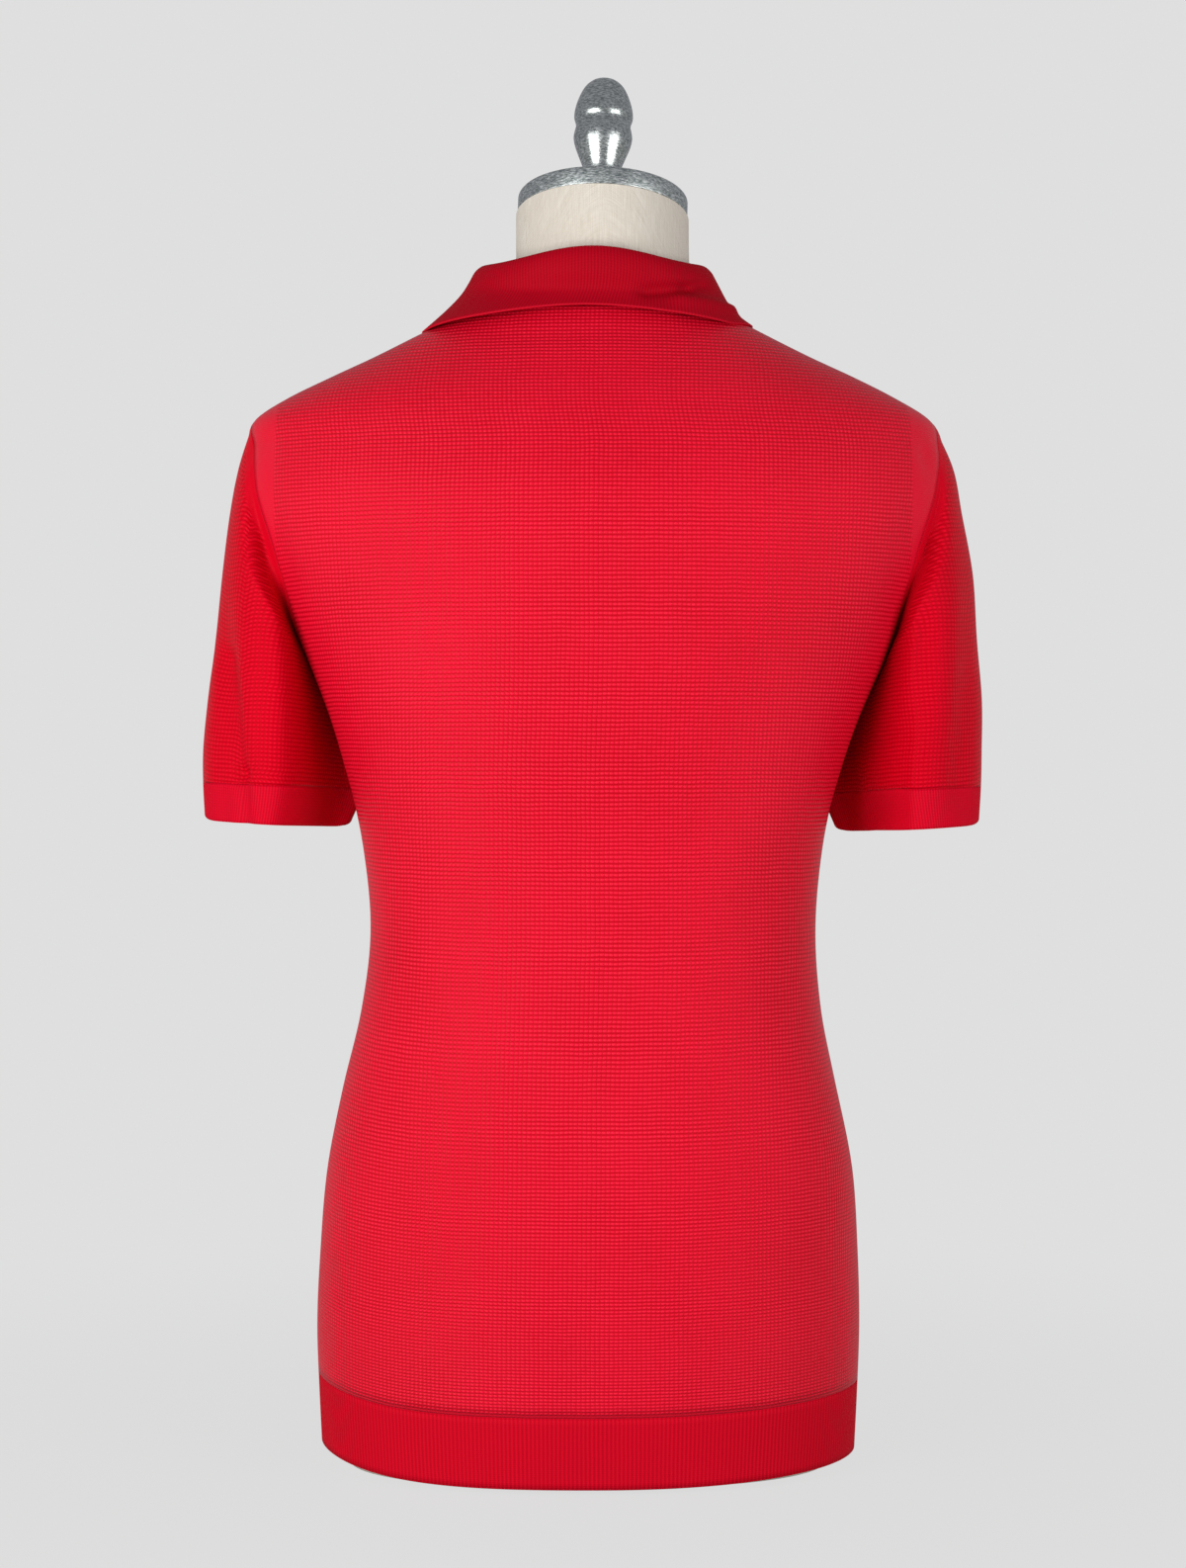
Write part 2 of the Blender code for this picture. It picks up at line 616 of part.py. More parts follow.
def make_placket_over(shirt, slot, faces, collection, material):
    """The upper band of the front opening: the lower band's own points, moved out."""
    points = shirt.points.copy()
    normals = point_normals(points, grid_faces(shirt.front, flip=True))
    points[slot] += (WALL + SEAM_GAP) * normals[slot]
    points[slot[:, 0], 0] -= PLACKET_OVERLAP
    points[slot[:, -1], 0] += PLACKET_OVERLAP
    inward = shirt.inward.copy()
    inward[slot] = -normals[slot]
    return cloth("placket_over", points, faces, inward, material, collection)


def make_buttons(collection, material):
    """Three buttons down the centre front, each lying on the upper band."""
    lift = WALL + 2 * SEAM_GAP
    radius = BUTTON_PROFILE[1][0]
    for number, height in enumerate(BUTTON_HEIGHTS, 1):
        cut = section(height)
        below, above = section(height - radius), section(height + radius)
        back_tilt = math.atan2(float(below.front - above.front), 2 * radius)
        button = turned(f"button_{number}", BUTTON_PROFILE, material, collection, 20)
        forward = float(cut.front) + lift * math.cos(back_tilt)
        button.location = (
            float(cut.shift) * MM,
            -forward * MM,
            (height + lift * math.sin(back_tilt)) * MM,
        )
        button.rotation_euler = (math.pi / 2 - back_tilt, 0, 0)


# ---------------------------------------------------------------- the dress form


def form_ring(height, clearance):
    """A ring of the form's torso: the shirt's section, a clearance inside it."""
    angle = 2 * math.pi * np.arange(FORM_COLUMNS) / FORM_COLUMNS
    heights = np.full(FORM_COLUMNS, float(height))
    back = on_section(angle, heights, 1)
    front = on_section(angle, heights, -1)
    points = np.where((np.sin(angle) >= 0)[:, None], back, front)
    _, normal = off_body(points)
    return points - clearance * normal * [1, 1, height > 0]


def neck_ring(ring):
    angle = 2 * math.pi * np.arange(FORM_COLUMNS) / FORM_COLUMNS
    y = (ring.back + ring.front) / 2 + (ring.back - ring.front) / 2 * np.sin(angle)
    x = ring.shift + ring.half_width * np.cos(angle)
    forward = y * math.tan(math.radians(NECK_TILT))
    sideways = (x - ring.shift) * math.tan(math.radians(NECK_LEAN))
    return np.stack([x, y, ring.height + ring.slant * (forward + sideways)], axis=-1)


def make_torso(collection, material):
    """The torso and neck as one lofted solid, flat below and closed by the neck's slant."""
    rings = [form_ring(*row) for row in zip(FORM_HEIGHTS, FORM_CLEARANCES)]
    rings += [neck_ring(ring) for ring in NECK_RINGS]
    points = np.array(rings)
    numbers = np.arange(points[..., 0].size).reshape(points.shape[:2])
    mesh = bpy.data.meshes.new("form_torso")
    mesh.from_pydata((points.reshape(-1, 3) * MM).tolist(), [], grid_faces(numbers, closed=True))
    shape = bmesh.new()
    shape.from_mesh(mesh)
    bmesh.ops.holes_fill(shape, edges=shape.edges, sides=0)
    bmesh.ops.recalc_face_normals(shape, faces=shape.faces)
    shape.to_mesh(mesh)
    shape.free()
    mesh.shade_smooth()
    mesh.set_sharp_from_angle(angle=math.radians(50))
    return link("form_torso", mesh, material, collection)


def make_neck_cap(collection, brushed, polished):
    """The metal cap on the neck's slanted top and the turned finial that stands on it."""
    cap = turned("form_cap", CAP_PROFILE, brushed, collection, 36)
    finial = turned("form_finial", FINIAL_PROFILE, polished, collection, 28)
    cap.location = [value * MM for value in CAP_CENTRE]
    cap.rotation_euler = (math.radians(NECK_TILT), -math.radians(NECK_LEAN), 0)
    finial.parent = cap
    finial.location = [value * MM for value in FINIAL_SEAT]


def main():
    for thing in list(bpy.data.objects):
        bpy.data.objects.remove(thing)
    collection = bpy.data.collections.new("polo_shirt")
    bpy.context.scene.collection.children.link(collection)
    materials = {
        "knit": make_material("red_textured_knit", (0.60, 0.006, 0.020), 0.85),
        "rib": make_material("red_rib_knit", (0.55, 0.005, 0.018), 0.85),
        "button": make_material("red_button", (0.40, 0.010, 0.015), 0.30),
        "linen": make_material("linen", (0.74, 0.68, 0.58), 0.90),
        "brushed": make_material("brushed_metal", (0.42, 0.44, 0.46), 0.40, 1.0),
        "polished": make_material("polished_metal", (0.62, 0.64, 0.66), 0.12, 1.0),
    }
    make_shirt(collection, materials)
    make_torso(collection, materials["linen"])
    make_neck_cap(collection, materials["brushed"], materials["polished"])


main()
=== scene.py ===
# %% [markdown]
# # A knitted polo shirt on a dress form
# The object is a fine wool polo shirt, worn by a limbless linen dress form with a metal neck
# cap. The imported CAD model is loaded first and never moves. It says where every piece goes.
# Over it we build the same shirt again, much finer: each panel that a knitter would make is
# a grid of points on a smooth surface, with its own yarn, stitches and seams.

# %% Load the frame
import math
from collections import namedtuple

import bpy
import numpy as np
from mathutils import Matrix, Vector
from mathutils.kdtree import KDTree


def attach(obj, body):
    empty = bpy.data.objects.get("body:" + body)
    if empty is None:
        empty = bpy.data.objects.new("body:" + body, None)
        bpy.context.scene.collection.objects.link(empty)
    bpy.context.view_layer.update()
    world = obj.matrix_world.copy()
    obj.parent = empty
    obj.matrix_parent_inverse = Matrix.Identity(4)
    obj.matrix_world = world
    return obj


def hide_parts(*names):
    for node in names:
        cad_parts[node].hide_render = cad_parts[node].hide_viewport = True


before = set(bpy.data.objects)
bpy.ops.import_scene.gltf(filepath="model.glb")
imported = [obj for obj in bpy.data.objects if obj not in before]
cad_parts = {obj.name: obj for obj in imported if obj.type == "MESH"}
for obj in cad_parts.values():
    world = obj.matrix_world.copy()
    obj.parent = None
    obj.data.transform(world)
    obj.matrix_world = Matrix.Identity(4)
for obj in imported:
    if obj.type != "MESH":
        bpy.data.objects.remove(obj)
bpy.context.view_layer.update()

# %% [markdown]
# ## The camera
# We look at the shirt's back from two metres away, at the height of its waist. A long lens
# keeps the garment's proportions as flat as a catalogue shows them. Blender measures the
# lens against the longer side of the image, which here is the height.

# %% Place the camera
CAMERA_DISTANCE = 2.0
CAMERA_HEIGHT = 0.428
IMAGE_HEIGHT = 1586
FOCAL_LENGTH_PIXELS = 3175

camera_data = bpy.data.cameras.new("camera")
camera_data.sensor_width = 36
camera_data.lens = camera_data.sensor_width * FOCAL_LENGTH_PIXELS / IMAGE_HEIGHT
camera = bpy.data.objects.new("camera", camera_data)
camera.location = (0, CAMERA_DISTANCE, CAMERA_HEIGHT)
camera.rotation_euler = (math.radians(90), 0, math.radians(180))
bpy.context.scene.collection.objects.link(camera)
bpy.context.scene.camera = camera
print("lens", round(camera_data.lens, 2), "mm")

# %% [markdown]
# ## Small tools for curves
# The garment's measures are tables in millimetres. One function draws a smooth curve through
# a table's rows, so a short table is enough for a surface with no corners in it.

# %% Curves through tables
MM = 0.001
WALL = 1.5  # thickness of the knitted cloth, mm
SEAM_GAP = 0.04  # between two panels that are sewn together, mm


def smooth_through(xs, ys, x):
    """A smooth curve through the numbers or points ys, which stand at xs, read at x."""
    xs, ys = np.asarray(xs, float), np.asarray(ys, float)
    slopes = np.gradient(ys, xs, axis=0)
    x = np.clip(x, xs[0], xs[-1])
    i = np.clip(np.searchsorted(xs, x) - 1, 0, len(xs) - 2)
    spread = x.shape + (1,) * (ys.ndim - 1)
    gap = (xs[i + 1] - xs[i]).reshape(spread)
    u = (x - xs[i]).reshape(spread) / gap
    rise = ys[i] * (1 + 2 * u) * (1 - u) ** 2 + ys[i + 1] * u**2 * (3 - 2 * u)
    return rise + gap * (slopes[i] * u * (1 - u) ** 2 - slopes[i + 1] * u**2 * (1 - u))


def lofted(rings, steps):
    """Rows through some rings, with steps of them from each ring to the next, and the number
    of the ring that each row has reached."""
    at = np.arange(steps * (len(rings) - 1) + 1) / steps
    return smooth_through(np.arange(len(rings)), rings, at), at


def signed_power(x, power):
    """x raised to a power, with the sign of x."""
    return np.sign(x) * np.abs(x) ** power


def unit(vectors):
    """The vectors, each made one long."""
    return vectors / np.maximum(np.linalg.norm(vectors, axis=-1, keepdims=True), 1e-12)


# %% [markdown]
# ## The body of the shirt
# A fully fashioned jumper is shaped while it is knitted, so it hangs as one smooth tube from
# the hem to the shoulders. We describe that tube by its level sections. Each is a rounded
# box: half its width, how far it is shifted to the left, its depth to the back and to the
# front, and how square it is (2 is an ellipse). The waist is nipped in, the chest is full,
# and above the shoulder tips the sections shrink towards the neck.

# %% The body's sections
Section = namedtuple("Section", "height half_width shift back front fullness")
SECTIONS = (
    Section(0, 168.5, 3, 111, 111, 2.30),
    Section(45, 170.7, 3, 115, 112, 2.30),
    Section(85, 172.0, 3, 118, 113, 2.35),
    Section(135, 170.4, 2.5, 117.5, 112.5, 2.35),
    Section(185, 166.6, 2, 113, 111, 2.35),
    Section(235, 157.0, 2, 106, 109.5, 2.35),
    Section(285, 146.2, 1, 99.5, 108.5, 2.35),
    Section(335, 141.4, 0, 96, 108.5, 2.35),
    Section(385, 145.8, 0, 98, 111, 2.35),
    Section(430, 155.5, 0, 104, 117, 2.35),
    Section(470, 168.0, -1, 110.5, 123, 2.35),
    Section(505, 182.5, -2, 116, 127, 2.30),
    Section(540, 197.0, -2, 118.5, 127, 2.30),
    Section(575, 211.0, -2, 119, 123.5, 2.30),
    Section(612, 222.5, -2, 115, 116, 2.20),
    Section(640, 220.5, -2, 105.5, 105.5, 2.10),
    Section(660, 213.5, 0.5, 97, 95, 2.00),
    Section(672, 194.5, 1, 91, 86.5, 2.00),
    Section(685, 168.5, 0.5, 83.5, 77, 2.00),
    Section(698, 140.5, 0.5, 76, 67.5, 2.00),
    Section(711, 114.5, 0.5, 68.5, 57, 2.00),
    Section(722, 93.0, 0, 62, 47.5, 2.00),
    Section(730.5, 78.0, 0, 57, 40, 2.00),
    Section(738, 64.0, 0, 53, 34, 2.00),
)


def section(height):
    """The body's section at a height, each field an array like height."""
    height = np.asarray(height, float)
    heights = [row.height for row in SECTIONS]
    fields = [
        smooth_through(heights, [getattr(row, name) for row in SECTIONS], height)
        for name in Section._fields[1:]
    ]
    return Section(height, *fields)


def depth_of(cut, facing):
    """Depth to the back where facing is 1, and to the front where it is -1."""
    return cut.back if facing > 0 else cut.front


def on_section(angle, height, facing):
    """Points of the body where angle is 0 at the left side seam and pi at the right."""
    cut = section(height)
    x = cut.shift + cut.half_width * signed_power(np.cos(angle), 2 / cut.fullness)
    y = facing * depth_of(cut, facing) * np.abs(np.sin(angle)) ** (2 / cut.fullness)
    return np.stack([x, y, cut.height], axis=-1)


waist = min(SECTIONS[:12], key=lambda row: row.half_width)
print("waist", 2 * waist.half_width, "mm across at", waist.height, "mm up")

# %% [markdown]
# ## Rows and columns of the back and the front
# Each panel is a grid. Its rows run from side seam to side seam like courses of knitting,
# first up to the underarm, then between the two armholes up to the shoulders. The columns
# fan in from the hem to the shoulder seams and the neckline. The grid has about four
# millimetres between points, six times finer than the CAD model's.

# %% Named places of the pattern
FINER = 6
ARMPIT = 505.0  # height of the underarm point
TIP_X = 213.5  # shoulder tip, where the sleeve is set in
TIP_HEIGHT = 660.0
NECK_X = 78.0  # high point of the shoulder seam, at the neck
NECK_HEIGHT = 730.5
BACK_NECK_HEIGHT = 724.0
FRONT_NECK_HEIGHT = 688.0
BACK_NECK_DIP, FRONT_NECK_DIP = 3.0, 2.0  # a higher power keeps the neckline low for longer
ARMHOLE_BACK = 44.5  # how far the armhole's curve reaches to the back and the front
ARMHOLE_FRONT = 50.0
ARMHOLE_ROUNDNESS = 0.59
HEM_BACK, HEM_FRONT = 2.8, 3.5  # height of the hem's edge at the centres
HEM_LEFT, HEM_LEFT_SWEEP = 14.0, 4  # and at the left side seam, with how late it rises
HEM_RIGHT, HEM_RIGHT_SWEEP = 9.0, 2
HEM_DEPTH = 44.0  # of the rib band

NECK_QUARTER = (0, 16, 31, 46, 62.5, 79, 90)  # degrees from the shoulder to the centre
NECK_STEPS = FINER * (len(NECK_QUARTER) - 1)
NECK_ANGLES = np.radians(
    np.interp(np.arange(NECK_STEPS + 1) / FINER, range(len(NECK_QUARTER)), NECK_QUARTER)
)
SHOULDER_COLUMNS = 8 * FINER
COLUMNS = 2 * (SHOULDER_COLUMNS + NECK_STEPS)
CENTRE = COLUMNS // 2
HEM_ROWS, BODY_ROWS = 10, 65
# Shares of the way from underarm to shoulder. The rows that would crowd at both ends are out.
UPPER_SHARES = [k / 60 for k in (*range(3, 58), 60)]
UPPER_ROWS = len(UPPER_SHARES)
PLACKET_ROWS = sum(share > 0.25 for share in UPPER_SHARES)  # those beside the front opening
print("columns", COLUMNS, "rows", HEM_ROWS + BODY_ROWS + UPPER_ROWS)


# %% Rows below and above the underarm
ANGLE_SAMPLES = 2161  # twelve a degree, to measure a section's length along


def column_angles(height, facing):
    """The angles of the columns at a height, evenly spaced along the section."""
    fine = np.linspace(0, math.pi, ANGLE_SAMPLES)
    points = on_section(fine, np.full_like(fine, height), facing)
    steps = np.linalg.norm(np.diff(points, axis=0), axis=1)
    along = np.concatenate([[0], np.cumsum(steps)])
    return np.interp(np.linspace(0, along[-1], COLUMNS + 1), along, fine)


def lower_row(share, depth, facing):
    """A row below the underarm, share of the way from depth above the hem's edge to it."""
    angle = column_angles(HEM_LEFT + depth + (ARMPIT - HEM_LEFT - depth) * share, facing)
    sideways = np.abs(np.cos(angle))
    centre = HEM_BACK if facing > 0 else HEM_FRONT
    to_left = (HEM_LEFT - centre) * sideways**HEM_LEFT_SWEEP
    to_right = (HEM_RIGHT - centre) * sideways**HEM_RIGHT_SWEEP
    edge = centre + np.where(np.cos(angle) > 0, to_left, to_right)
    height = (edge + depth) * (1 - share) + ARMPIT * share
    return on_section(angle, height, facing)


def shoulder_height(x):
    """Height of the shoulder's ridge at a distance from the centre line."""
    heights = np.linspace(TIP_HEIGHT, NECK_HEIGHT, 400)
    widths = section(heights).half_width
    return np.interp(x, widths[::-1], heights[::-1])


def top_row(facing):
    """X and height of the columns' upper ends, along the shoulder seams and the neckline."""
    seam = np.linspace(TIP_X, NECK_X, SHOULDER_COLUMNS + 1)[:-1]
    neck = NECK_X * np.cos(NECK_ANGLES)
    centre_height = BACK_NECK_HEIGHT if facing > 0 else FRONT_NECK_HEIGHT
    dip = BACK_NECK_DIP if facing > 0 else FRONT_NECK_DIP
    neck_heights = centre_height + (NECK_HEIGHT - centre_height) * (neck / NECK_X) ** dip
    x = np.concatenate([seam, neck])
    height = np.concatenate([shoulder_height(seam), neck_heights])
    return np.concatenate([x, -x[-2::-1]]), np.concatenate([height, height[-2::-1]])


def upper_row(share, facing):
    """A row between the underarm and the shoulder, share of the way up."""
    top_x, top_height = top_row(facing)
    rise = (1 - math.cos(math.pi * share)) / 2
    height = ARMPIT + (top_height - ARMPIT) * rise
    cut = section(height)
    depth = depth_of(cut, facing)
    reach = ARMHOLE_BACK if facing > 0 else ARMHOLE_FRONT
    armhole_y = reach * math.sin(math.pi * rise) ** ARMHOLE_ROUNDNESS
    n = cut.fullness[0]
    armhole_x = cut.half_width[0] * (1 - (armhole_y / depth[0]) ** n) ** (1 / n)
    angle = column_angles(ARMPIT, facing)
    start = signed_power(np.cos(angle), 2 / section(ARMPIT).fullness)
    from_centre = armhole_x * (start * (1 - share) + top_x / TIP_X * share)
    across = np.clip(np.abs(from_centre) / cut.half_width, 0, 1)
    y = facing * depth * (1 - across**cut.fullness) ** (1 / cut.fullness)
    if share == 1:
        y[: SHOULDER_COLUMNS + 1] = y[-SHOULDER_COLUMNS - 1 :] = 0
    return np.stack([cut.shift + from_centre, y, height], axis=-1)


def body_grid(facing):
    """Rows of points from the hem to the shoulder, each from the left side to the right."""
    hem = [lower_row(0, HEM_DEPTH * k / HEM_ROWS, facing) for k in range(HEM_ROWS + 1)]
    body = [lower_row(k / BODY_ROWS, HEM_DEPTH, facing) for k in range(1, BODY_ROWS + 1)]
    upper = [upper_row(share, facing) for share in UPPER_SHARES]
    return np.array(hem + body + upper)


back_grid, front_grid = body_grid(1), body_grid(-1)
UNDERARM = HEM_ROWS + BODY_ROWS
TOP = UNDERARM + UPPER_ROWS
print("body grids", back_grid.shape, front_grid.shape)


# %% [markdown]
# ## Keeping pieces clear of the body
# Sleeves and collar lie beside the body without sinking into it. This tool measures how far a
# point is outside the body's surface, and in which direction it leaves it.

# %% Distance from the body
def off_body(points):
    """How far points are outside the body's surface, and the surface's outward direction."""

    def excess(p):
        """Above 0 outside the surface, 0 on it and below 0 inside."""
        cut = section(p[..., 2])
        depth = np.where(p[..., 1] > 0, cut.back, cut.front)
        across = np.abs((p[..., 0] - cut.shift) / cut.half_width) ** cut.fullness
        along = np.abs(p[..., 1] / depth) ** cut.fullness
        return (across + along) ** (1 / cut.fullness) - 1

    step = 0.05
    here = excess(points)
    slope = np.stack(
        [(excess(points + step * axis) - excess(points - step * axis)) for axis in np.eye(3)],
        axis=-1,
    ) / (2 * step)
    size = np.linalg.norm(slope, axis=-1)
    return here / size, slope / size[..., None]


def clear_of_body(points, least):
    """The points, with those nearer than least to the body's outer side moved out to it."""
    for _ in range(4):
        gap, normal = off_body(points)
        points = points + normal * np.maximum(least - gap, 0)[..., None]
    return points


# %% [markdown]
# ## Creases
# A knitted shirt drapes in soft folds rather than sharp ones. The largest run down the
# sleeves. Each crease below is a short line seen from the back or the front, given by its two
# ends (X and height), its half width and its depth. Points near the line sink along the
# surface's normal as a soft trough, or rise as a ridge where the depth is below zero. The
# front, which hangs like the back, has creases of the same kind.

# %% The crease tool
Crease = namedtuple("Crease", "x1 z1 x2 z2 width depth")


def grid_normals(points, closed=False):
    """Unit normals of a grid's points, to the side that its faces are turned to."""
    if closed:
        along = np.roll(points, -1, axis=1) - np.roll(points, 1, axis=1)
    else:
        along = np.gradient(points, axis=1)
    return unit(np.cross(along, np.gradient(points, axis=0)))


def creased(points, normals, creases, where=True):
    """The points, sunk into each crease that passes them."""
    for crease in creases:
        start, end = np.array([crease.x1, crease.z1]), np.array([crease.x2, crease.z2])
        along = end - start
        flat = points[..., [0, 2]]
        share = np.clip((flat - start) @ along / (along @ along), 0, 1)
        away = np.linalg.norm(flat - start - share[..., None] * along, axis=-1)
        sink = crease.depth * np.exp(-((away / crease.width) ** 2)) * where
        points = points - sink[..., None] * normals
    return points


BACK_CREASES = (
    Crease(0, 640, 1, 130, 5, -0.35),  # the form's centre seam shows through as a faint line
    Crease(-207, 634, -213, 622, 6, 1.4),
    Crease(204, 640, 190, 560, 9, 0.8),
    Crease(-196, 600, -186, 540, 9, 0.9),
    Crease(60, 704, -50, 706, 5, 0.5),
    Crease(150, 420, 112, 372, 16, 0.8),
    Crease(-146, 408, -104, 360, 16, 1.0),
    Crease(-150, 250, -118, 300, 18, 0.9),
)
FRONT_CREASES = (
    Crease(178, 560, 120, 520, 14, 1.8),
    Crease(-180, 556, -118, 512, 14, 1.8),
    Crease(150, 420, 96, 372, 16, 1.2),
    Crease(-150, 415, -92, 362, 16, 1.3),
    Crease(146, 262, 112, 308, 18, 1.0),
    Crease(-146, 255, -110, 304, 18, 1.0),
    Crease(110, 690, 70, 640, 10, 1.0),
    Crease(-110, 690, -72, 640, 10, 1.0),
)


SEAM_REACH = 14.0  # a crease grows to its full depth over this distance from a side seam, mm


def off_the_seams(grid):
    """From 0 at the side seams, where both panels share their edge, to 1 further in."""
    edge = np.minimum(np.arange(COLUMNS + 1), COLUMNS - np.arange(COLUMNS + 1))
    pitch = np.linalg.norm(grid[UNDERARM, 1] - grid[UNDERARM, 0])
    sideways = np.clip(edge * pitch / SEAM_REACH, 0, 1)
    upward = np.clip((TOP - np.arange(len(grid))) / 4, 0, 1)
    return np.minimum(sideways[None, :], upward[:, None])


smooth_back, smooth_front = back_grid, front_grid
back_grid = creased(
    smooth_back, grid_normals(smooth_back), BACK_CREASES, off_the_seams(smooth_back)
)
front_grid = creased(
    smooth_front, -grid_normals(smooth_front), FRONT_CREASES, off_the_seams(smooth_front)
)
front_grid[: UNDERARM + 1, [0, -1]] = back_grid[: UNDERARM + 1, [0, -1]]
print("deepest body crease", round(float(np.abs(back_grid - smooth_back).max()), 2), "mm")


# %% [markdown]
# ## Threads follow the cloth
# Knitting has courses (rows) and wales (columns) of a real size, so its material needs to
# know, at each point, how many millimetres of cloth lie to the side and below. That is
# what a UV map can hold. Here u is the length along a level course from the centre line, and
# v the length up the cloth. Shaped knitting keeps its wales parallel to the centre and
# ends them at the seams, and u does the same.

# %% Lengths of cloth
STITCH_WIDE, STITCH_HIGH = 2.8, 2.7  # of the raised stitch, mm; the real one is 2.5 wide
PACKED_STITCH = 2.05  # its height low on the body, where the courses lie closer
PACKING_HEIGHTS = 250, 50  # from where down to where they draw together


def along_course(points, facing):
    """Length of cloth from the centre line to each point, along a level course."""
    cut = section(points[..., 2])
    reach = np.clip((points[..., 0] - cut.shift) / cut.half_width, -1, 1)
    angle = np.arccos(signed_power(reach, cut.fullness / 2))
    shares = np.linspace(0, 1, 33)
    angles = np.pi / 2 + (angle[..., None] - np.pi / 2) * shares
    power = 2 / cut.fullness[..., None]
    x = cut.half_width[..., None] * signed_power(np.cos(angles), power)
    y = depth_of(cut, facing)[..., None] * np.abs(np.sin(angles)) ** power
    return np.sign(reach) * np.hypot(np.diff(x), np.diff(y)).sum(axis=-1)


def up_cloth(height, facing):
    """Length of cloth up the centre line to a height. Where the courses are packed closer,
    length counts for more."""
    start, end = PACKING_HEIGHTS
    heights = np.linspace(-20, 745, 600)
    rise = np.hypot(np.diff(heights), np.diff(depth_of(section(heights), facing)))
    packed = np.clip((start - heights[1:]) / (start - end), 0, 1)
    closer = 1 + (STITCH_HIGH / PACKED_STITCH - 1) * packed
    return np.interp(height, heights, np.concatenate([[0], np.cumsum(rise * closer)]))


def body_lengths(grid, facing):
    """u and v of a body grid. Below the underarm each row is one course, and above it the
    courses are level."""
    v = up_cloth(grid[..., 2], facing)
    v[:UNDERARM] = v[:UNDERARM, CENTRE : CENTRE + 1]
    print("cloth below the underarm", round(float(v[UNDERARM, CENTRE] - v[0, CENTRE])), "mm")
    return np.stack([along_course(grid, facing), v], axis=-1)


def distance_to(points, line):
    """Distance from each point to a line, given by the points that it passes through."""
    steps = np.arange(0, len(line) - 1 + 1e-9, 0.2)
    dense = np.stack([np.interp(steps, range(len(line)), line[:, k]) for k in range(3)], -1)
    tree = KDTree(len(dense))
    for number, place in enumerate(dense):
        tree.insert(place, number)
    tree.balance()
    flat = points.reshape(-1, 3)
    return np.array([tree.find(p)[2] for p in flat]).reshape(points.shape[:-1])


def nearest(points, lines):
    """Distance from each point to the nearest of some lines."""
    return np.min([distance_to(points, line) for line in lines], axis=0)


# %% [markdown]
# ## From a grid to a piece of cloth
# The mesh gets one four-cornered face between each two rows and columns. Two UV maps go with
# it: "knit" holds the lengths of cloth, and "edges" holds two distances. The second is to the
# nearest seam. The first is how far inside the field of raised stitches a point is, or on a
# rib band how far from the band's free edge. The edges that are sewn are drawn back a little,
# so the panels meet without touching. A Solidify modifier then gives the sheet its
# thickness, which keeps the mesh itself a plain sheet that is easy to shape.

# %% Build a cloth piece
OUTER_FACE, MIDDLE = -1.0, 0.0  # where in the thickness of the wall the grid's points are


def drawn_back(points, edges):
    """The grid with its named edges moved towards its middle by half a seam's gap."""
    points = points.copy()
    for lines, names in ((points, "bottom top"), (points.swapaxes(0, 1), "left right")):
        for name, edge, inner in zip(names.split(), (0, -1), (1, -2)):
            if name in edges:
                lines[edge] += SEAM_GAP / 2 * unit(lines[inner] - lines[edge])
    return points


def grid_mesh(name, points, knit, edges, closed=False, flip=False, keep=None, lids=False):
    """A mesh from a grid in millimetres. knit and edges have a column more than points where
    the grid is closed. keep says which faces are made, and lids closes both ends."""
    rows, columns = points.shape[:2]
    faces, corners = [], []
    for r in range(rows - 1):
        for c in range(columns if closed else columns - 1):
            if keep is not None and not keep[r, c]:
                continue
            ring = ((r, c), (r, c + 1), (r + 1, c + 1), (r + 1, c))
            ring = ring[::-1] if flip else ring
            faces.append([i * columns + j % columns for i, j in ring])
            corners.extend(ring)
    used = np.unique(faces)
    number = np.zeros(rows * columns, int)
    number[used] = np.arange(len(used))
    faces = number[np.array(faces)].tolist()
    if lids:
        faces += [list(range(columns))[::-1], list(range((rows - 1) * columns, rows * columns))]
    mesh = bpy.data.meshes.new(name)
    mesh.from_pydata((points.reshape(-1, 3)[used] * MM).tolist(), [], faces)
    rows_of, columns_of = np.array(corners).T
    for title, lengths in (("knit", knit), ("edges", edges)):
        flat = lengths[rows_of, columns_of]
        if lids:
            flat = np.concatenate([flat, points[0, ::-1, :2], points[-1, :, :2]])
        mesh.uv_layers.new(name=title).data.foreach_set("uv", (flat * MM).ravel())
    mesh.shade_smooth()
    return mesh


def visible_piece(name, data, material, cad_node=None):
    """A mesh or curve as a piece of the scene, shown in place of a node of the CAD model."""
    data.materials.append(material)
    piece = bpy.data.objects.new(name, data)
    bpy.context.scene.collection.objects.link(piece)
    if cad_node:
        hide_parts(cad_node)
    return piece


def cloth(name, points, knit, edges, material, slot, cad_node, side=OUTER_FACE, thick=WALL,
          **shape):
    """A sheet of cloth from a grid, with a wall of its own. shape goes to grid_mesh."""
    mesh = grid_mesh(name, points, knit, edges, **shape)
    piece = visible_piece(name, mesh, material, cad_node)
    wall = piece.modifiers.new("wall", "SOLIDIFY")
    wall.thickness = thick * MM
    wall.offset = side
    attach(piece, "root")
    print(name, len(mesh.polygons), "faces")
    return piece


# %% [markdown]
# ## Tools for materials
# Colours are written as the hex values that designers use, which are in sRGB. Blender's
# shaders work in linear light, so one function turns the first into the second. Another
# adds a shader node with its settings and its inputs, each a number or another node's output.

# %% Colour and node tools
def linear(hex_colour):
    """Linear red, green, blue and alpha of an sRGB hex colour."""
    shares = [int(hex_colour[i : i + 2], 16) / 255 for i in (1, 3, 5)]
    return [s / 12.92 if s <= 0.04045 else ((s + 0.055) / 1.055) ** 2.4 for s in shares] + [1]


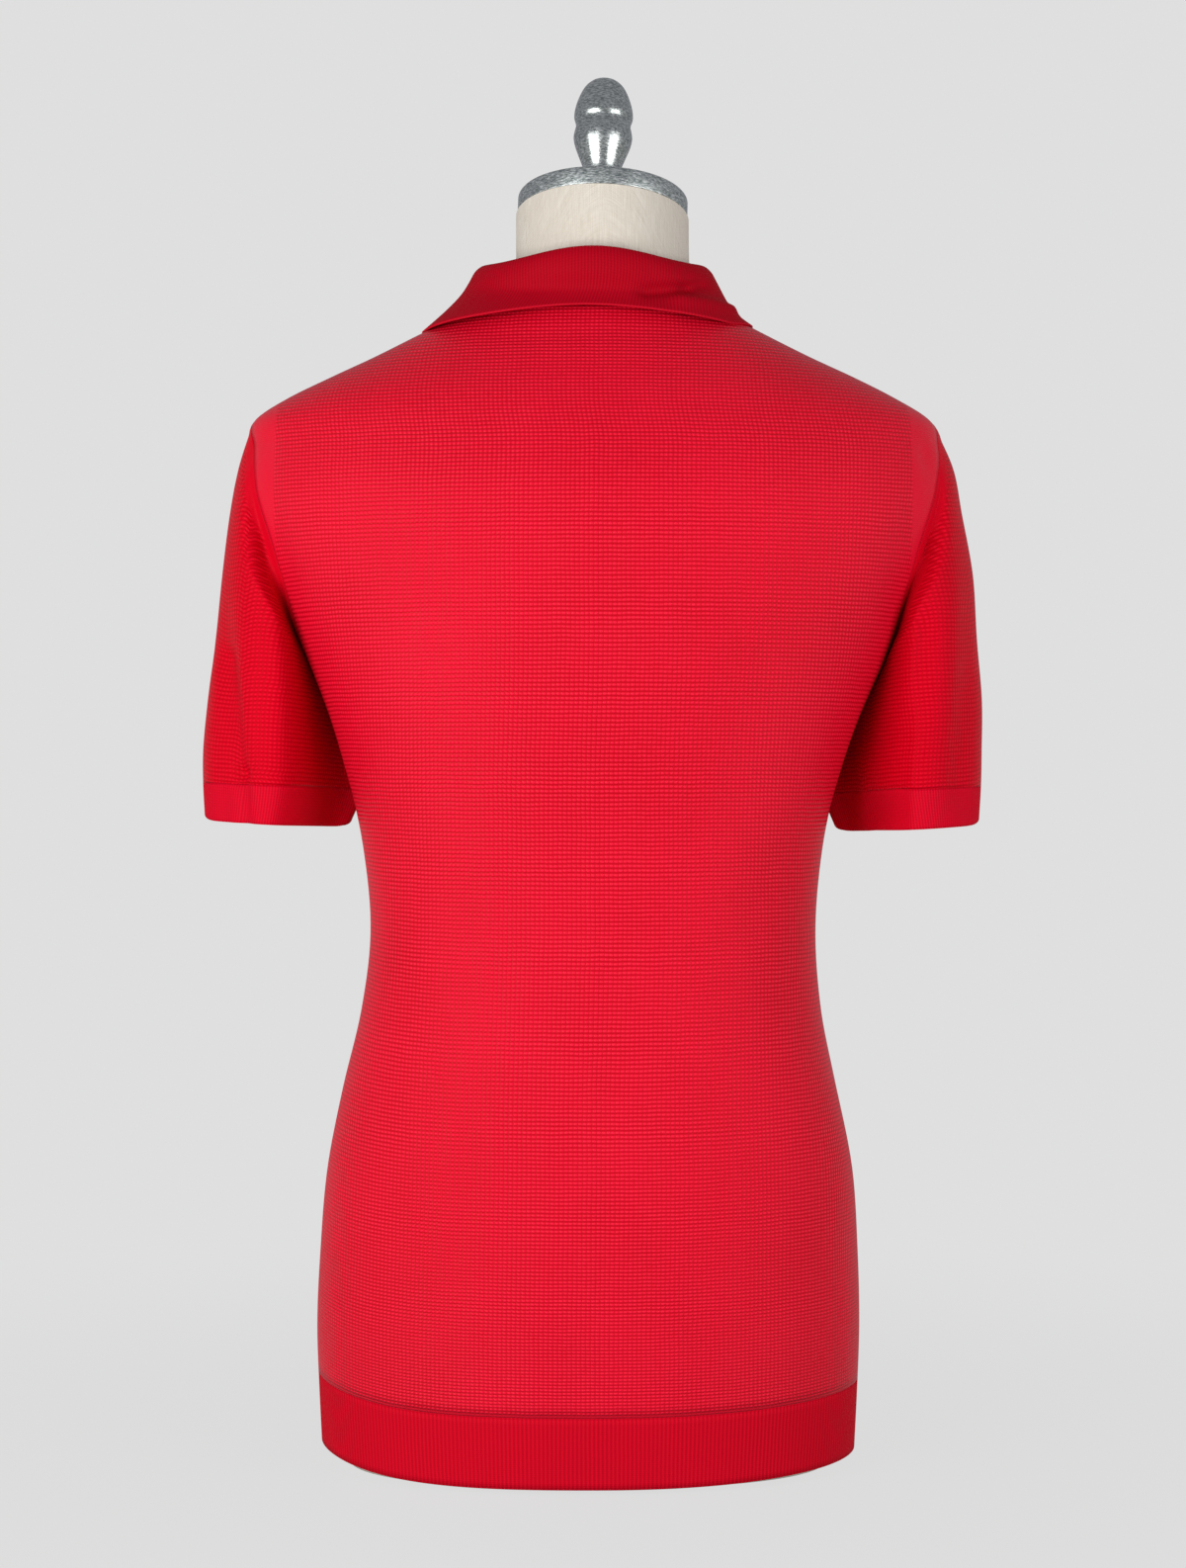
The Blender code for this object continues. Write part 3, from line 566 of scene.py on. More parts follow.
def node(tree, kind, inputs=(), output=0, **settings):
    """Adds a shader node. inputs are values or sockets, by number or by name."""
    made = tree.nodes.new("ShaderNode" + kind)
    for name, value in settings.items():
        setattr(made, name, value)
    pairs = inputs.items() if isinstance(inputs, dict) else enumerate(inputs)
    for name, value in pairs:
        if isinstance(value, bpy.types.NodeSocket):
            tree.links.new(value, made.inputs[name])
        else:
            made.inputs[name].default_value = value
    return made.outputs[output]


COLOUR_MIX = {"output": 2, "data_type": "RGBA"}  # makes a Mix node blend two colours


def new_material(name, constants):
    """A material with one Principled shader, whose constants are set by name."""
    material = bpy.data.materials.new(name)
    material.use_nodes = True
    for socket, value in constants.items():
        material.node_tree.nodes["Principled BSDF"].inputs[socket].default_value = value
    return material, material.node_tree


def driven(material, sources):
    """The material, with its shader's named sockets driven by other nodes' outputs."""
    for socket, source in sources.items():
        target = material.node_tree.nodes["Principled BSDF"].inputs[socket]
        material.node_tree.links.new(source, target)
    return material


print("red in linear light:", [round(c, 3) for c in linear("#CD1D2F")])

# %% [markdown]
# ## Lengths and waves in a material
# A pattern of stitches needs to know where on the cloth it is. The first tool reads the
# lengths of cloth from the knit map, in millimetres, and lets them waver a little as yarn
# does. A cosine wave along them then repeats at the size of a stitch. The other two read the
# edges map and mark the groove where two panels are linked.

# %% Lengths, waves and seams
def cloth_lengths(tree, waver):
    """u and v in mm, wavering by up to half of waver, and the place on the object."""
    lengths = node(tree, "UVMap", uv_map="knit")
    place = node(tree, "TexCoord", output=3)
    drift = node(tree, "TexNoise", {"Vector": place, "Scale": 55.0, "Detail": 2.0}, output=1)
    centred = node(tree, "VectorMath", [drift, (0.5, 0.5, 0.5)], operation="SUBTRACT")
    sway = node(tree, "VectorMath", {0: centred, 3: waver * MM}, operation="SCALE")
    moved = node(tree, "VectorMath", [lengths, sway], operation="ADD")
    in_mm = node(tree, "VectorMath", {0: moved, 3: 1 / MM}, operation="SCALE")
    u = node(tree, "SeparateXYZ", [in_mm])
    v = node(tree, "SeparateXYZ", [in_mm], output=1)
    return u, v, place


def wave(tree, length, pitch):
    """A wave between 0 and 1 that repeats each pitch."""
    turns = node(tree, "Math", [length, 2 * math.pi / pitch], operation="MULTIPLY")
    swing = node(tree, "Math", [turns], operation="COSINE")
    return node(tree, "Math", [swing, 0.5, 0.5], operation="MULTIPLY_ADD")


def edge_distances(tree):
    """The two distances of the edges map, in mm."""
    edges = node(tree, "UVMap", uv_map="edges")
    in_mm = node(tree, "VectorMath", {0: edges, 3: 1 / MM}, operation="SCALE")
    field = node(tree, "SeparateXYZ", [in_mm])
    seam = node(tree, "SeparateXYZ", [in_mm], output=1)
    return field, seam


def seam_groove(tree, seam, width):
    """0 on the cloth, falling to -1 in the seam."""
    return node(tree, "MapRange", [seam, 0.0, width, -1.0, 0.0], interpolation_type="SMOOTHSTEP")


print("a wave up the cloth repeats each", STITCH_HIGH, "mm")

# %% [markdown]
# ## Textured wool knit
# The body and sleeves are fine merino, dyed red and knitted so that small raised stitches
# stand in straight rows. A real stitch is 2.5 mm wide, which beats against the pixels of an
# image, so we draw it 2.8 mm wide. It is 2.7 mm high, as it really is. Two waves, along u and
# v, make the lattice. The one up the cloth is the stronger, so the bumps read as rows of
# little lenses. Wool scatters light in its nap, which the sheen gives. Between the stitches
# the yarn is deeper in shade, so the same height also darkens the colour.

# %% A lattice of stitches
RED_LIT, RED_SHADED = "#FD1A3C", "#B60012"  # painted highlight on a raised stitch, and painted shade between two
SLEEVE_SHADED_RED = "#E60928"  # painted shade: the sleeves get less light, so their stitches are painted a deeper red than the body's
BODY_GLOSS, SLEEVE_GLOSS = 0.24, 0.06  # smooth over the form, and slack
GLOSS_TINT = "#FF9494"  # some of the gloss comes from inside the fibres, and is reddened
NAP_RED = "#FF3A3A"  # the short fibre ends over the surface


def textured_knit(name, gloss, lit):
    """Merino: dyed wool of IOR 1.55, whose scales give a soft gloss and a thin nap."""
    material, tree = new_material(name, {
        "Roughness": 0.38,
        "IOR": 1.55,
        "Specular IOR Level": gloss,
        "Specular Tint": linear(GLOSS_TINT),
        "Sheen Weight": 0.01,
        "Sheen Roughness": 0.4,
        "Sheen Tint": linear(NAP_RED),
    })
    u, v, place = cloth_lengths(tree, 1.1)
    field, seam = edge_distances(tree)
    course = wave(tree, v, STITCH_HIGH)
    wale = wave(tree, u, STITCH_WIDE)
    # The wave across weakens each course between two stitches, but doesn't cut it through.
    wale_share = node(tree, "Math", [wale, 0.85, 0.15], operation="MULTIPLY_ADD")
    crossing = node(tree, "Math", [course, wale_share], operation="MULTIPLY")
    lens = node(tree, "Math", [crossing, 0.7], operation="POWER")
    tug = node(tree, "TexNoise", {"Vector": place, "Scale": 260.0, "Detail": 1.0})
    uneven = node(tree, "Math", [tug, 0.7, 0.65], operation="MULTIPLY_ADD")
    raised = node(tree, "Math", [lens, uneven], operation="MULTIPLY")
    # Outside the textured field the knit is plain: shallow courses at half the height.
    fine = wave(tree, v, STITCH_HIGH / 2)
    plain = node(tree, "Math", [fine, 0.16, 0.36], operation="MULTIPLY_ADD")
    inside = node(tree, "MapRange", [field, -1.0, 1.5, 0.0, 1.0], interpolation_type="SMOOTHSTEP")
    stitches = node(tree, "Mix", {0: inside, 2: plain, 3: raised}, data_type="FLOAT")
    groove = seam_groove(tree, seam, 1.2)
    height = node(tree, "Math", [groove, 0.1, stitches], operation="MULTIPLY_ADD")
    fibre = node(tree, "TexNoise", {"Vector": place, "Scale": 2200.0, "Detail": 2.0})
    fuzzy = node(tree, "Math", [fibre, 0.12, height], operation="MULTIPLY_ADD")
    normal = node(tree, "Bump", {"Strength": 0.75, "Distance": 0.0007, "Height": fuzzy})
    dye = node(tree, "TexNoise", {"Vector": place, "Scale": 14.0, "Detail": 3.0})
    # Real dye mottling, plus painted light and shade: raised stitches are painted lighter, the
    # yarn between them darker.
    shade = node(tree, "Math", [dye, 0.24, stitches], operation="MULTIPLY_ADD")
    depth = node(tree, "MapRange", [shade, 0.05, 1.0, 0.0, 1.0])
    colour = node(tree, "Mix", {0: depth, 6: linear(RED_SHADED), 7: linear(lit)}, **COLOUR_MIX)
    return driven(material, {"Base Color": colour, "Normal": normal})


merino_texture = textured_knit("merino_raised_stitch_red", BODY_GLOSS, RED_LIT)
# The sleeves' copy of the knit is painted darker, as painted shade.
merino_sleeve_shaded = textured_knit("merino_raised_stitch_sleeve_shaded_red", SLEEVE_GLOSS, SLEEVE_SHADED_RED)
print("made", merino_texture.name, "and", merino_sleeve_shaded.name)

# %% [markdown]
# ## Rib knit
# Hem, cuffs and collar are ribbed: columns of plain and purl stitches that pull together and
# stretch again, so they show as fine upright ridges. The hem's ribs are 2.55 mm apart and
# the cuffs' 1.9 mm. The collar's are really 1.35 mm apart, which is too fine to show at this
# distance, so they are drawn 2 mm apart. Small stitches cross each ridge.

# %% Ribs of three sizes
RIB_STITCH = 1.7  # height of the small stitches along a ridge, mm
LOOP_PLACE = 1.3  # how far the row of linking loops is from the seam, mm
RIM_WIDE, RIM_HIGHLIGHT_RED = 1.0, "#E01834"  # painted highlight along a free edge, and its width in mm


def rib_knit(name, pitch, relief, lit="#DA0424", deep="#AA0014"):
    """Merino in ribs that are pitch apart and relief high, both in mm. Their colour holds painted
    light and shade: lighter on the ridges, darker between them, and as a whole deeper than the
    flat knit, for the shade between the ridges. The rib is also duller."""
    material, tree = new_material(name, {
        "Roughness": 0.7,
        "IOR": 1.55,
        "Specular IOR Level": 0.05,
        "Sheen Weight": 0.05,
        "Sheen Roughness": 0.4,
        "Sheen Tint": linear(NAP_RED),
    })
    u, v, place = cloth_lengths(tree, 0.7)
    free, seam = edge_distances(tree)
    ridge = wave(tree, u, pitch)
    stitch = wave(tree, v, RIB_STITCH)
    ribbed = node(tree, "Math", [stitch, 0.22, ridge], operation="MULTIPLY_ADD")
    # Each ridge starts with one round loop, where the band is linked to the panel above it.
    from_loop = node(tree, "Math", [seam, LOOP_PLACE], operation="SUBTRACT")
    away = node(tree, "Math", [from_loop], operation="ABSOLUTE")
    near = node(tree, "MapRange", [away, 0.0, 1.1, 1.0, 0.0], interpolation_type="SMOOTHSTEP")
    loop = node(tree, "Math", [near, ridge], operation="MULTIPLY")
    linked = node(tree, "Math", [loop, 0.7, ribbed], operation="MULTIPLY_ADD")
    groove = seam_groove(tree, seam, 0.9)
    height = node(tree, "Math", [groove, 0.12, linked], operation="MULTIPLY_ADD")
    fibre = node(tree, "TexNoise", {"Vector": place, "Scale": 2200.0, "Detail": 2.0})
    fuzzy = node(tree, "Math", [fibre, 0.15, height], operation="MULTIPLY_ADD")
    normal = node(tree, "Bump", {"Strength": 0.7, "Distance": relief * MM, "Height": fuzzy})
    dye = node(tree, "TexNoise", {"Vector": place, "Scale": 18.0, "Detail": 3.0})
    # Real dye mottling, plus painted light and shade: ridges and loops are painted lighter, the
    # hollows between them darker.
    shade = node(tree, "Math", [dye, 0.3, linked], operation="MULTIPLY_ADD")
    depth = node(tree, "MapRange", [shade, -0.2, 1.5, 0.0, 1.0])
    yarn = node(tree, "Mix", {0: depth, 6: linear(deep), 7: linear(lit)}, **COLOUR_MIX)
    # Painted highlight: the loops of the free edge stand open, and are painted brighter than the
    # ribs.
    rim = node(tree, "MapRange", [free, 0.2, RIM_WIDE, 0.45, 0.0], interpolation_type="SMOOTHSTEP")
    colour = node(tree, "Mix", {0: rim, 6: yarn, 7: linear(RIM_HIGHLIGHT_RED)}, **COLOUR_MIX)
    return driven(material, {"Base Color": colour, "Normal": normal})


hem_rib = rib_knit("merino_rib_hem_red", 2.55, 0.30)
cuff_rib = rib_knit("merino_rib_cuff_red", 1.9, 0.25, "#E2062A", "#B00016")
# The collar's rib is painted darker than the hem's, as painted shade on a collar that gets less
# light.
collar_rib = rib_knit("merino_rib_collar_shaded_red", 2.0, 0.16, "#BA021E", "#900010")
print("ribs", hem_rib.name, cuff_rib.name, collar_rib.name)

# %% [markdown]
# ## Back and front
# The back is one panel. The front has a slot at its centre for the buttoned opening. Along
# the armholes and the shoulders the raised stitch stops at one straight wale and one level
# line, and leaves the plain bands that fully fashioned knitwear has there.

# %% The two large panels
FIELD_HALF_WIDTH = 198.0  # the raised stitch ends on this wale, beside the armholes
SHOULDER_BAND, SEAM_BAND = 12.0, 1.0  # width of the plain knit along shoulders and seams, mm


def body_edges(grid):
    """Distances for the edges map: into the textured field, and from the nearest seam."""
    from_seam = nearest(grid, [grid[:, 0], grid[:, -1], grid[0], grid[-1]])
    shoulders = [grid[-1, : SHOULDER_COLUMNS + 1], grid[-1, -SHOULDER_COLUMNS - 1 :]]
    into = np.minimum(FIELD_HALF_WIDTH - np.abs(grid[..., 0]),
                      nearest(grid, shoulders) - SHOULDER_BAND)
    neck = grid[-1, SHOULDER_COLUMNS : COLUMNS - SHOULDER_COLUMNS + 1]
    print("neckline", round(float(np.linalg.norm(np.diff(neck, axis=0), axis=1).sum())), "mm")
    return np.stack([np.minimum(into, from_seam - SEAM_BAND), from_seam], axis=-1)


back_lengths, front_lengths = body_lengths(smooth_back, 1), body_lengths(smooth_front, -1)
ALL_SEWN = ("bottom", "top", "left", "right")
panel = slice(HEM_ROWS, None)
back = cloth("back_knit", drawn_back(back_grid[panel], ALL_SEWN), back_lengths[panel],
             body_edges(back_grid[panel]), merino_texture, "red_textured_knit", "back")

opening = TOP - PLACKET_ROWS  # first row of the slot
slot_rows, slot_columns = slice(opening, None), slice(CENTRE - FINER, CENTRE + FINER + 1)
keep = np.ones((TOP - HEM_ROWS, COLUMNS), bool)
keep[opening - HEM_ROWS :, CENTRE - FINER : CENTRE + FINER] = False
front = cloth("front_knit", drawn_back(front_grid[panel], ALL_SEWN), front_lengths[panel],
              body_edges(front_grid[panel]), merino_texture, "red_textured_knit", "front",
              flip=True, keep=keep)

# %% [markdown]
# ## Hem bands
# The rib band is linked to the panel's last course, which leaves a fine line along its top.
# Its own lower edge is free. The band is 44 mm deep and rises a little at the side seams.

# %% Two hem bands
def band_edges(grid, sewn, free):
    """Distances from a band's free edge and from its sewn edges."""
    lines = {"bottom": grid[0], "top": grid[-1], "left": grid[:, 0], "right": grid[:, -1]}
    from_seam = nearest(grid, [lines[name] for name in sewn])
    return np.stack([distance_to(grid, lines[free]), from_seam], axis=-1)


band = slice(0, HEM_ROWS + 1)
hem_sewn = ("top", "left", "right")
hems = []
for name, grid, lengths, flip in (
    ("back", back_grid, back_lengths, False),
    ("front", front_grid, front_lengths, True),
):
    ribs = lengths[band].copy()
    ribs[..., 0] = lengths[HEM_ROWS : HEM_ROWS + 1, :, 0]  # a rib keeps to its own column
    hems.append(cloth(f"hem_{name}_rib", drawn_back(grid[band], hem_sewn), ribs,
                      band_edges(grid[band], hem_sewn, "bottom"), hem_rib, "red_rib_knit",
                      f"hem_{name}", flip=flip))

# %% [markdown]
# ## The buttoned opening
# Two narrow rib bands close the front: the lower one lies in the slot between the two sides
# of the front, and the upper one lies on it and laps a little over both sides. They run from
# the neckline down to below the third button.

# %% Lower and upper bands
PLACKET_LAP = 0.8  # how far the upper band laps over each side of the slot, mm
slot = front_grid[slot_rows, slot_columns]
slot_lengths = front_lengths[slot_rows, slot_columns]
placket_rib = rib_knit("merino_rib_placket_red", 2.0, 0.2)
placket_under = cloth("placket_under_rib", drawn_back(slot, ALL_SEWN), slot_lengths,
                      band_edges(slot, ALL_SEWN, "right"), placket_rib, "red_rib_knit",
                      "placket_under", flip=True)
outward = -grid_normals(front_grid)[slot_rows, slot_columns]
raised_slot = slot + (WALL + SEAM_GAP) * outward
raised_slot[..., 0] += np.linspace(PLACKET_LAP, -PLACKET_LAP, 2 * FINER + 1)
placket_over = cloth("placket_over_rib", raised_slot, slot_lengths,
                     band_edges(raised_slot, ALL_SEWN, "right"), placket_rib, "red_rib_knit",
                     "placket_over", flip=True)


# %% [markdown]
# ## Sleeves
# A set-in sleeve starts at the armhole and hangs close beside the body. Its surface passes
# through rings, each given by its outer and inner edge, its back and its front. The drop is
# how much lower the right sleeve hangs there. The empty cloth folds in between the arm and
# the body, and the tuck says how far: at 1 the inner edge lies deep behind the body's side.
# We pull the first rows smoothly out of the armhole itself, so sleeve and body share one
# seam line, and sink them in a shallow hollow just behind it. Two long troughs run down each
# sleeve, where the cloth folds under its own weight, and the cuff curls up at its sides.

# %% Sleeve rings and folds
SleeveRing = namedtuple(
    "SleeveRing", "outer_height outer_left outer_right inner_height inner back front drop tuck"
)
SLEEVE_RINGS = (
    SleeveRing(630, 225.4, 229.0, 490, 176.0, 49.0, -59.0, 0.0, 0.45),
    SleeveRing(600, 231.4, 235.2, 479, 166.0, 52.5, -68.0, 0.0, 0.8),
    SleeveRing(562, 236.4, 242.8, 468, 158.0, 54.0, -73.0, 0.5, 0.95),
    SleeveRing(522, 240.8, 245.4, 457, 153.0, 53.0, -75.0, 1.0, 1.0),
    SleeveRing(484, 245.8, 248.6, 446, 149.5, 51.5, -75.0, 1.5, 1.0),
    SleeveRing(452, 249.0, 248.5, 435, 147.0, 50.0, -74.0, 2.0, 1.0),
    SleeveRing(429, 249.2, 248.0, 425, 148.0, 49.0, -73.5, 2.5, 1.0),
    SleeveRing(405, 248.2, 246.8, 400, 156.5, 47.5, -72.5, 3.0, 0.95),
)
SLEEVE_FULLNESS = 2.2  # how square its rings are
SLEEVE_OFF_BODY, OFF_BODY_RING = 0.5, 0.3  # least distance from the body, full from that ring
TUCKED_Y = -36.0  # of the sleeve's inner edge, where its tuck is 1
TUCK_EVEN, TUCK_POWER = 0.2, 8  # how evenly and how steeply its back rises from there
HOLLOW_DEPTH, HOLLOW_END = 12.0, 2.2  # the hollow behind the armhole seam ends at that ring
HOLLOW_ROUND = (15, 50, 100, 130)  # degrees round the sleeve where it starts, is full, ends
CUFF_CURL, CURL_POWER = 5.0, 14  # how far the cuff's edge rises at its sides, and how late
SLEEVE_STEPS = 10  # rows from one ring to the next
CUFF_RING = 7  # where the cuff starts

Fold = namedtuple("Fold", "side top bottom angle_top angle_bottom spread depth")
SLEEVE_FOLDS = (
    Fold("left", 560, 400, 146, 126, 15, 4.5),
    Fold("left", 600, 420, 228, 242, 20, 3.5),
    Fold("right", 600, 400, 150, 126, 20, 3.0),
    Fold("right", 590, 420, 236, 226, 20, 3.5),
)
SLEEVE_CREASES = {
    "left": (
        Crease(231, 508, 221, 436, 6, 5.0),
        Crease(220, 434, 217, 400, 5, 4.5),
    ),
    "right": (
        Crease(-236, 500, -229, 430, 8, 1.6),
        Crease(-204, 520, -186, 412, 12, 6.0),
    ),
}


def sleeve_ring(ring, side, columns):
    """Points round a sleeve, from its inner edge through the back to the outer edge."""
    sign = 1 if side == "left" else -1
    outer = ring.outer_left if side == "left" else ring.outer_right
    angle = 2 * math.pi * np.arange(columns) / columns
    inward = signed_power(np.cos(angle), 2 / SLEEVE_FULLNESS)
    backward = signed_power(np.sin(angle), 2 / SLEEVE_FULLNESS)
    x = (ring.inner + outer) / 2 + (ring.inner - outer) / 2 * inward
    middle = (ring.back + ring.front) / 2
    inner_y = np.where(inward > 0, middle + (TUCKED_Y - middle) * ring.tuck, middle)
    from_inner = np.clip(angle / (math.pi / 2), 0, 1)
    steep = TUCK_EVEN * from_inner + (1 - TUCK_EVEN) * np.abs(np.sin(angle)) ** TUCK_POWER
    tucked = ring.tuck * (angle < math.pi / 2)
    to_back = backward * (1 - tucked) + steep * tucked
    to_front = -backward * (ring.front - inner_y)
    y = inner_y + np.where(backward > 0, to_back * (ring.back - inner_y), to_front)
    z = (ring.inner_height + ring.outer_height) / 2
    z = z + (ring.inner_height - ring.outer_height) / 2 * inward
    z = z - (0 if side == "left" else ring.drop)
    if ring is SLEEVE_RINGS[-1]:
        z = z + CUFF_CURL * np.abs(inward) ** CURL_POWER
    points = np.stack([x, y, z], axis=-1)
    centre = points.mean(axis=0)
    for fold in SLEEVE_FOLDS:
        if fold.side != side:
            continue
        down = (fold.top - z) / (fold.top - fold.bottom)
        middle = np.radians(fold.angle_top + (fold.angle_bottom - fold.angle_top) * down)
        across = (angle - middle) / math.radians(fold.spread)
        strength = np.clip(4 * down * (1.25 - down), 0, 1) * (down > 0)
        sink = fold.depth * strength * np.exp(-(across**2))
        towards = unit((centre - points) * [1, 1, 0])
        points = points + sink[:, None] * towards
    return points * [sign, 1, 1]


def sleeve_grid(armhole, side):
    """Rows of a sleeve from its armhole to the cuff's edge, clear of the body."""
    rings = [armhole, *(sleeve_ring(ring, side, len(armhole)) for ring in SLEEVE_RINGS)]
    rows, at = lofted(rings, SLEEVE_STEPS)
    round_arm = np.arange(len(armhole)) * 360 / len(armhole)
    at_back = np.interp(round_arm, HOLLOW_ROUND, (0, 1, 1, 0))
    dip = np.sin(np.pi * np.clip(at / HOLLOW_END, 0, 1))
    rows[..., 1] -= HOLLOW_DEPTH * dip[:, None] * at_back
    least = SLEEVE_OFF_BODY * np.clip(at[1:] / OFF_BODY_RING, 0, 1)
    rows[1:] = clear_of_body(rows[1:], least[:, None])
    outward = grid_normals(rows, closed=True) * (1 if side == "left" else -1)
    return creased(rows, outward, SLEEVE_CREASES[side], rows[..., 1] > 0)


# %% [markdown]
# A sleeve's courses are level, and its first ones are cut off by the slanting armhole. So v
# is measured up each column from the cuff. Its wales run parallel to the outer edge, and so
# u is measured round the sleeve from there, in both directions, to the seam under the arm.

# %% Build the sleeves
def round_tube(grid):
    """A tube's grid with its first column again at the end, and the level length from the
    first column round to each."""
    closed = np.concatenate([grid, grid[:, :1]], axis=1)
    steps = np.linalg.norm(np.diff(closed[..., :2], axis=1), axis=-1)
    return closed, np.concatenate([np.zeros((len(grid), 1)), np.cumsum(steps, axis=1)], axis=1)


def sleeve_lengths(grid):
    """u and v of a sleeve, with one column more than the grid to close it."""
    closed, around = round_tube(grid)
    half = grid.shape[1] // 2
    u = around - around[:, half : half + 1]
    rises = np.linalg.norm(np.diff(closed, axis=0), axis=-1)
    up = np.concatenate([np.cumsum(rises[::-1], axis=0)[::-1], np.zeros((1, rises.shape[1]))])
    return np.stack([u, up], axis=-1)


def tube_edges(into, from_seam):
    """The edges map of a tube, which has its first column again at the end."""
    both = np.stack([into, from_seam], axis=-1)
    return np.concatenate([both, both[:, :1]], axis=1)


SLEEVE_BAND = 8.0  # width of the plain knit along the armhole, mm
cuff_row = SLEEVE_STEPS * CUFF_RING
sleeves, cuffs = {}, {}
for side, column, flip in (("left", 0, False), ("right", COLUMNS, True)):
    up_back = back_grid[UNDERARM : TOP + 1, column]
    down_front = front_grid[UNDERARM + 1 : TOP, column][::-1]
    grid = sleeve_grid(np.concatenate([up_back, down_front]), side)
    lengths = sleeve_lengths(grid)
    upper, lower = grid[: cuff_row + 1], grid[cuff_row:]
    edges = tube_edges(distance_to(upper, grid[0]) - SLEEVE_BAND,
                       nearest(upper, [grid[0], grid[cuff_row], grid[:, 0]]))
    sleeves[side] = cloth(f"sleeve_{side}_knit", drawn_back(upper, ("bottom", "top")),
                          lengths[: cuff_row + 1], edges, merino_sleeve_shaded, "red_textured_knit",
                          f"sleeve_{side}", closed=True, flip=flip)
    from_seam = distance_to(lower, grid[cuff_row])
    ribs = lengths[cuff_row:].copy()
    ribs[..., 0] = lengths[cuff_row, :, 0]  # a rib keeps to its own column
    cuffs[side] = cloth(f"cuff_{side}_rib", drawn_back(lower, ("bottom",)), ribs,
                        tube_edges(from_seam.max() - from_seam, from_seam), cuff_rib,
                        "red_rib_knit", f"cuff_{side}", closed=True, flip=flip)

# %% [markdown]
# ## The collar
# A rib collar is knitted as one strip and linked to the neckline. It stands up inside, rolls
# over and falls outside, down to a free edge that lies on the shoulders. Its section changes
# from the centre back over the shoulder to the front, where the two points spread apart. The
# table walks up the stand, over the roll and down the fall. Each row says how far it is
# outside the neckline and how far above it, at the back, the sides and the front. Then come
# the points' spread, the row's shift to the left, how late it climbs from the side to the
# back (a higher power climbs later), and its least distance from the body.

# %% The collar's rows
CollarRow = namedtuple(
    "CollarRow",
    "out_back up_back out_side up_side out_front up_front spread skew climb off_body",
)
COLLAR_ROWS = (
    CollarRow(1.3, 14.0, -3.0, 11.0, 0.5, 9.0, 0.0, 0.0, 1.5, -20),
    CollarRow(2.2, 28.0, -8.6, 20.5, 1.0, 16.0, 0.5, 0.0, 1.9, -20),
    CollarRow(5.0, 35.4, -7.4, 25.0, 4.0, 20.0, 2.5, 0.0, 2.7, -20),
    CollarRow(8.6, 30.0, -3.0, 22.0, 7.5, 17.5, 6.0, 0.0, 2.3, -20),
    CollarRow(8.9, 21.0, 1.0, 15.0, 9.5, 9.5, 13.0, 0.0, 1.6, 4.0),
    CollarRow(5.0, 10.8, 5.8, 7.0, 10.0, -5.5, 22.5, 0.6, 1.2, 2.6),
    CollarRow(6.2, 5.0, 13.5, -3.0, 18.0, -24.0, 34.0, 2.4, 1.0, 1.2),
    CollarRow(10.0, -1.2, 25.6, -16.5, 28.0, -46.0, 47.5, 4.6, 0.9, 0.65),
)
COLLAR_END_GAP = 3.0  # between the collar's two ends at the centre front
COLLAR_STEPS = 6
COLLAR_WALL = 1.1  # its rib is thinner than the panels
COLLAR_CREASES = (
    Crease(-32, 732, -58, 736, 3.6, 3.4),
    Crease(-58, 736, -68, 740, 3.6, 3.0),
    Crease(-54, 727, -86, 726, 4.6, -3.4),
    Crease(33, 742, 36, 734, 5.0, 0.8),
    Crease(-36, 744, -40, 735, 5.0, 0.7),
)


def collar_grid(neckline):
    """Rows of the collar's middle, from its neck seam to its free edge. The neckline goes
    from the centre front over the left shoulder and round to the centre front again."""
    to_shoulder = NECK_ANGLES[::-1]
    quarter = np.concatenate([to_shoulder, NECK_ANGLES[1:]])
    round_neck = np.concatenate([quarter, quarter[-2::-1]])
    count = len(neckline)
    is_back = np.zeros(count, bool)
    is_back[NECK_STEPS : count - NECK_STEPS] = True
    centred = np.sin(round_neck) ** 2
    ahead = np.roll(neckline, -1, axis=0) - np.roll(neckline, 1, axis=0)
    ahead[[0, -1]] = [[1, 0, 0], [1, 0, 0]]
    outward = unit(np.stack([-ahead[:, 1], ahead[:, 0], 0 * ahead[:, 0]], axis=-1))
    outward = outward * np.sign((outward * (neckline * [1, 1, 0])).sum(axis=1))[:, None]
    leftward = np.where(np.arange(count) < count // 2, 1.0, -1.0)
    rows = [neckline - WALL / 2 * off_body(neckline)[1]]
    for row in COLLAR_ROWS:
        out_centre = np.where(is_back, row.out_back, row.out_front)
        out = row.out_side + (out_centre - row.out_side) * centred
        up_centre = np.where(is_back, row.up_back, row.up_front)
        climbed = np.where(is_back, centred**row.climb, centred)
        up = row.up_side + (up_centre - row.up_side) * climbed
        spread = np.where(is_back, 0, row.spread * centred**3) * leftward
        points = neckline + outward * out[:, None]
        points[:, 2] += up
        points[:, 0] += spread + row.skew
        rows.append(clear_of_body(points, row.off_body))
    fine, at = lofted(rows, COLLAR_STEPS)
    least = np.interp(at, range(len(rows)), [-20, *(row.off_body for row in COLLAR_ROWS)])
    return clear_of_body(fine, least[:, None])


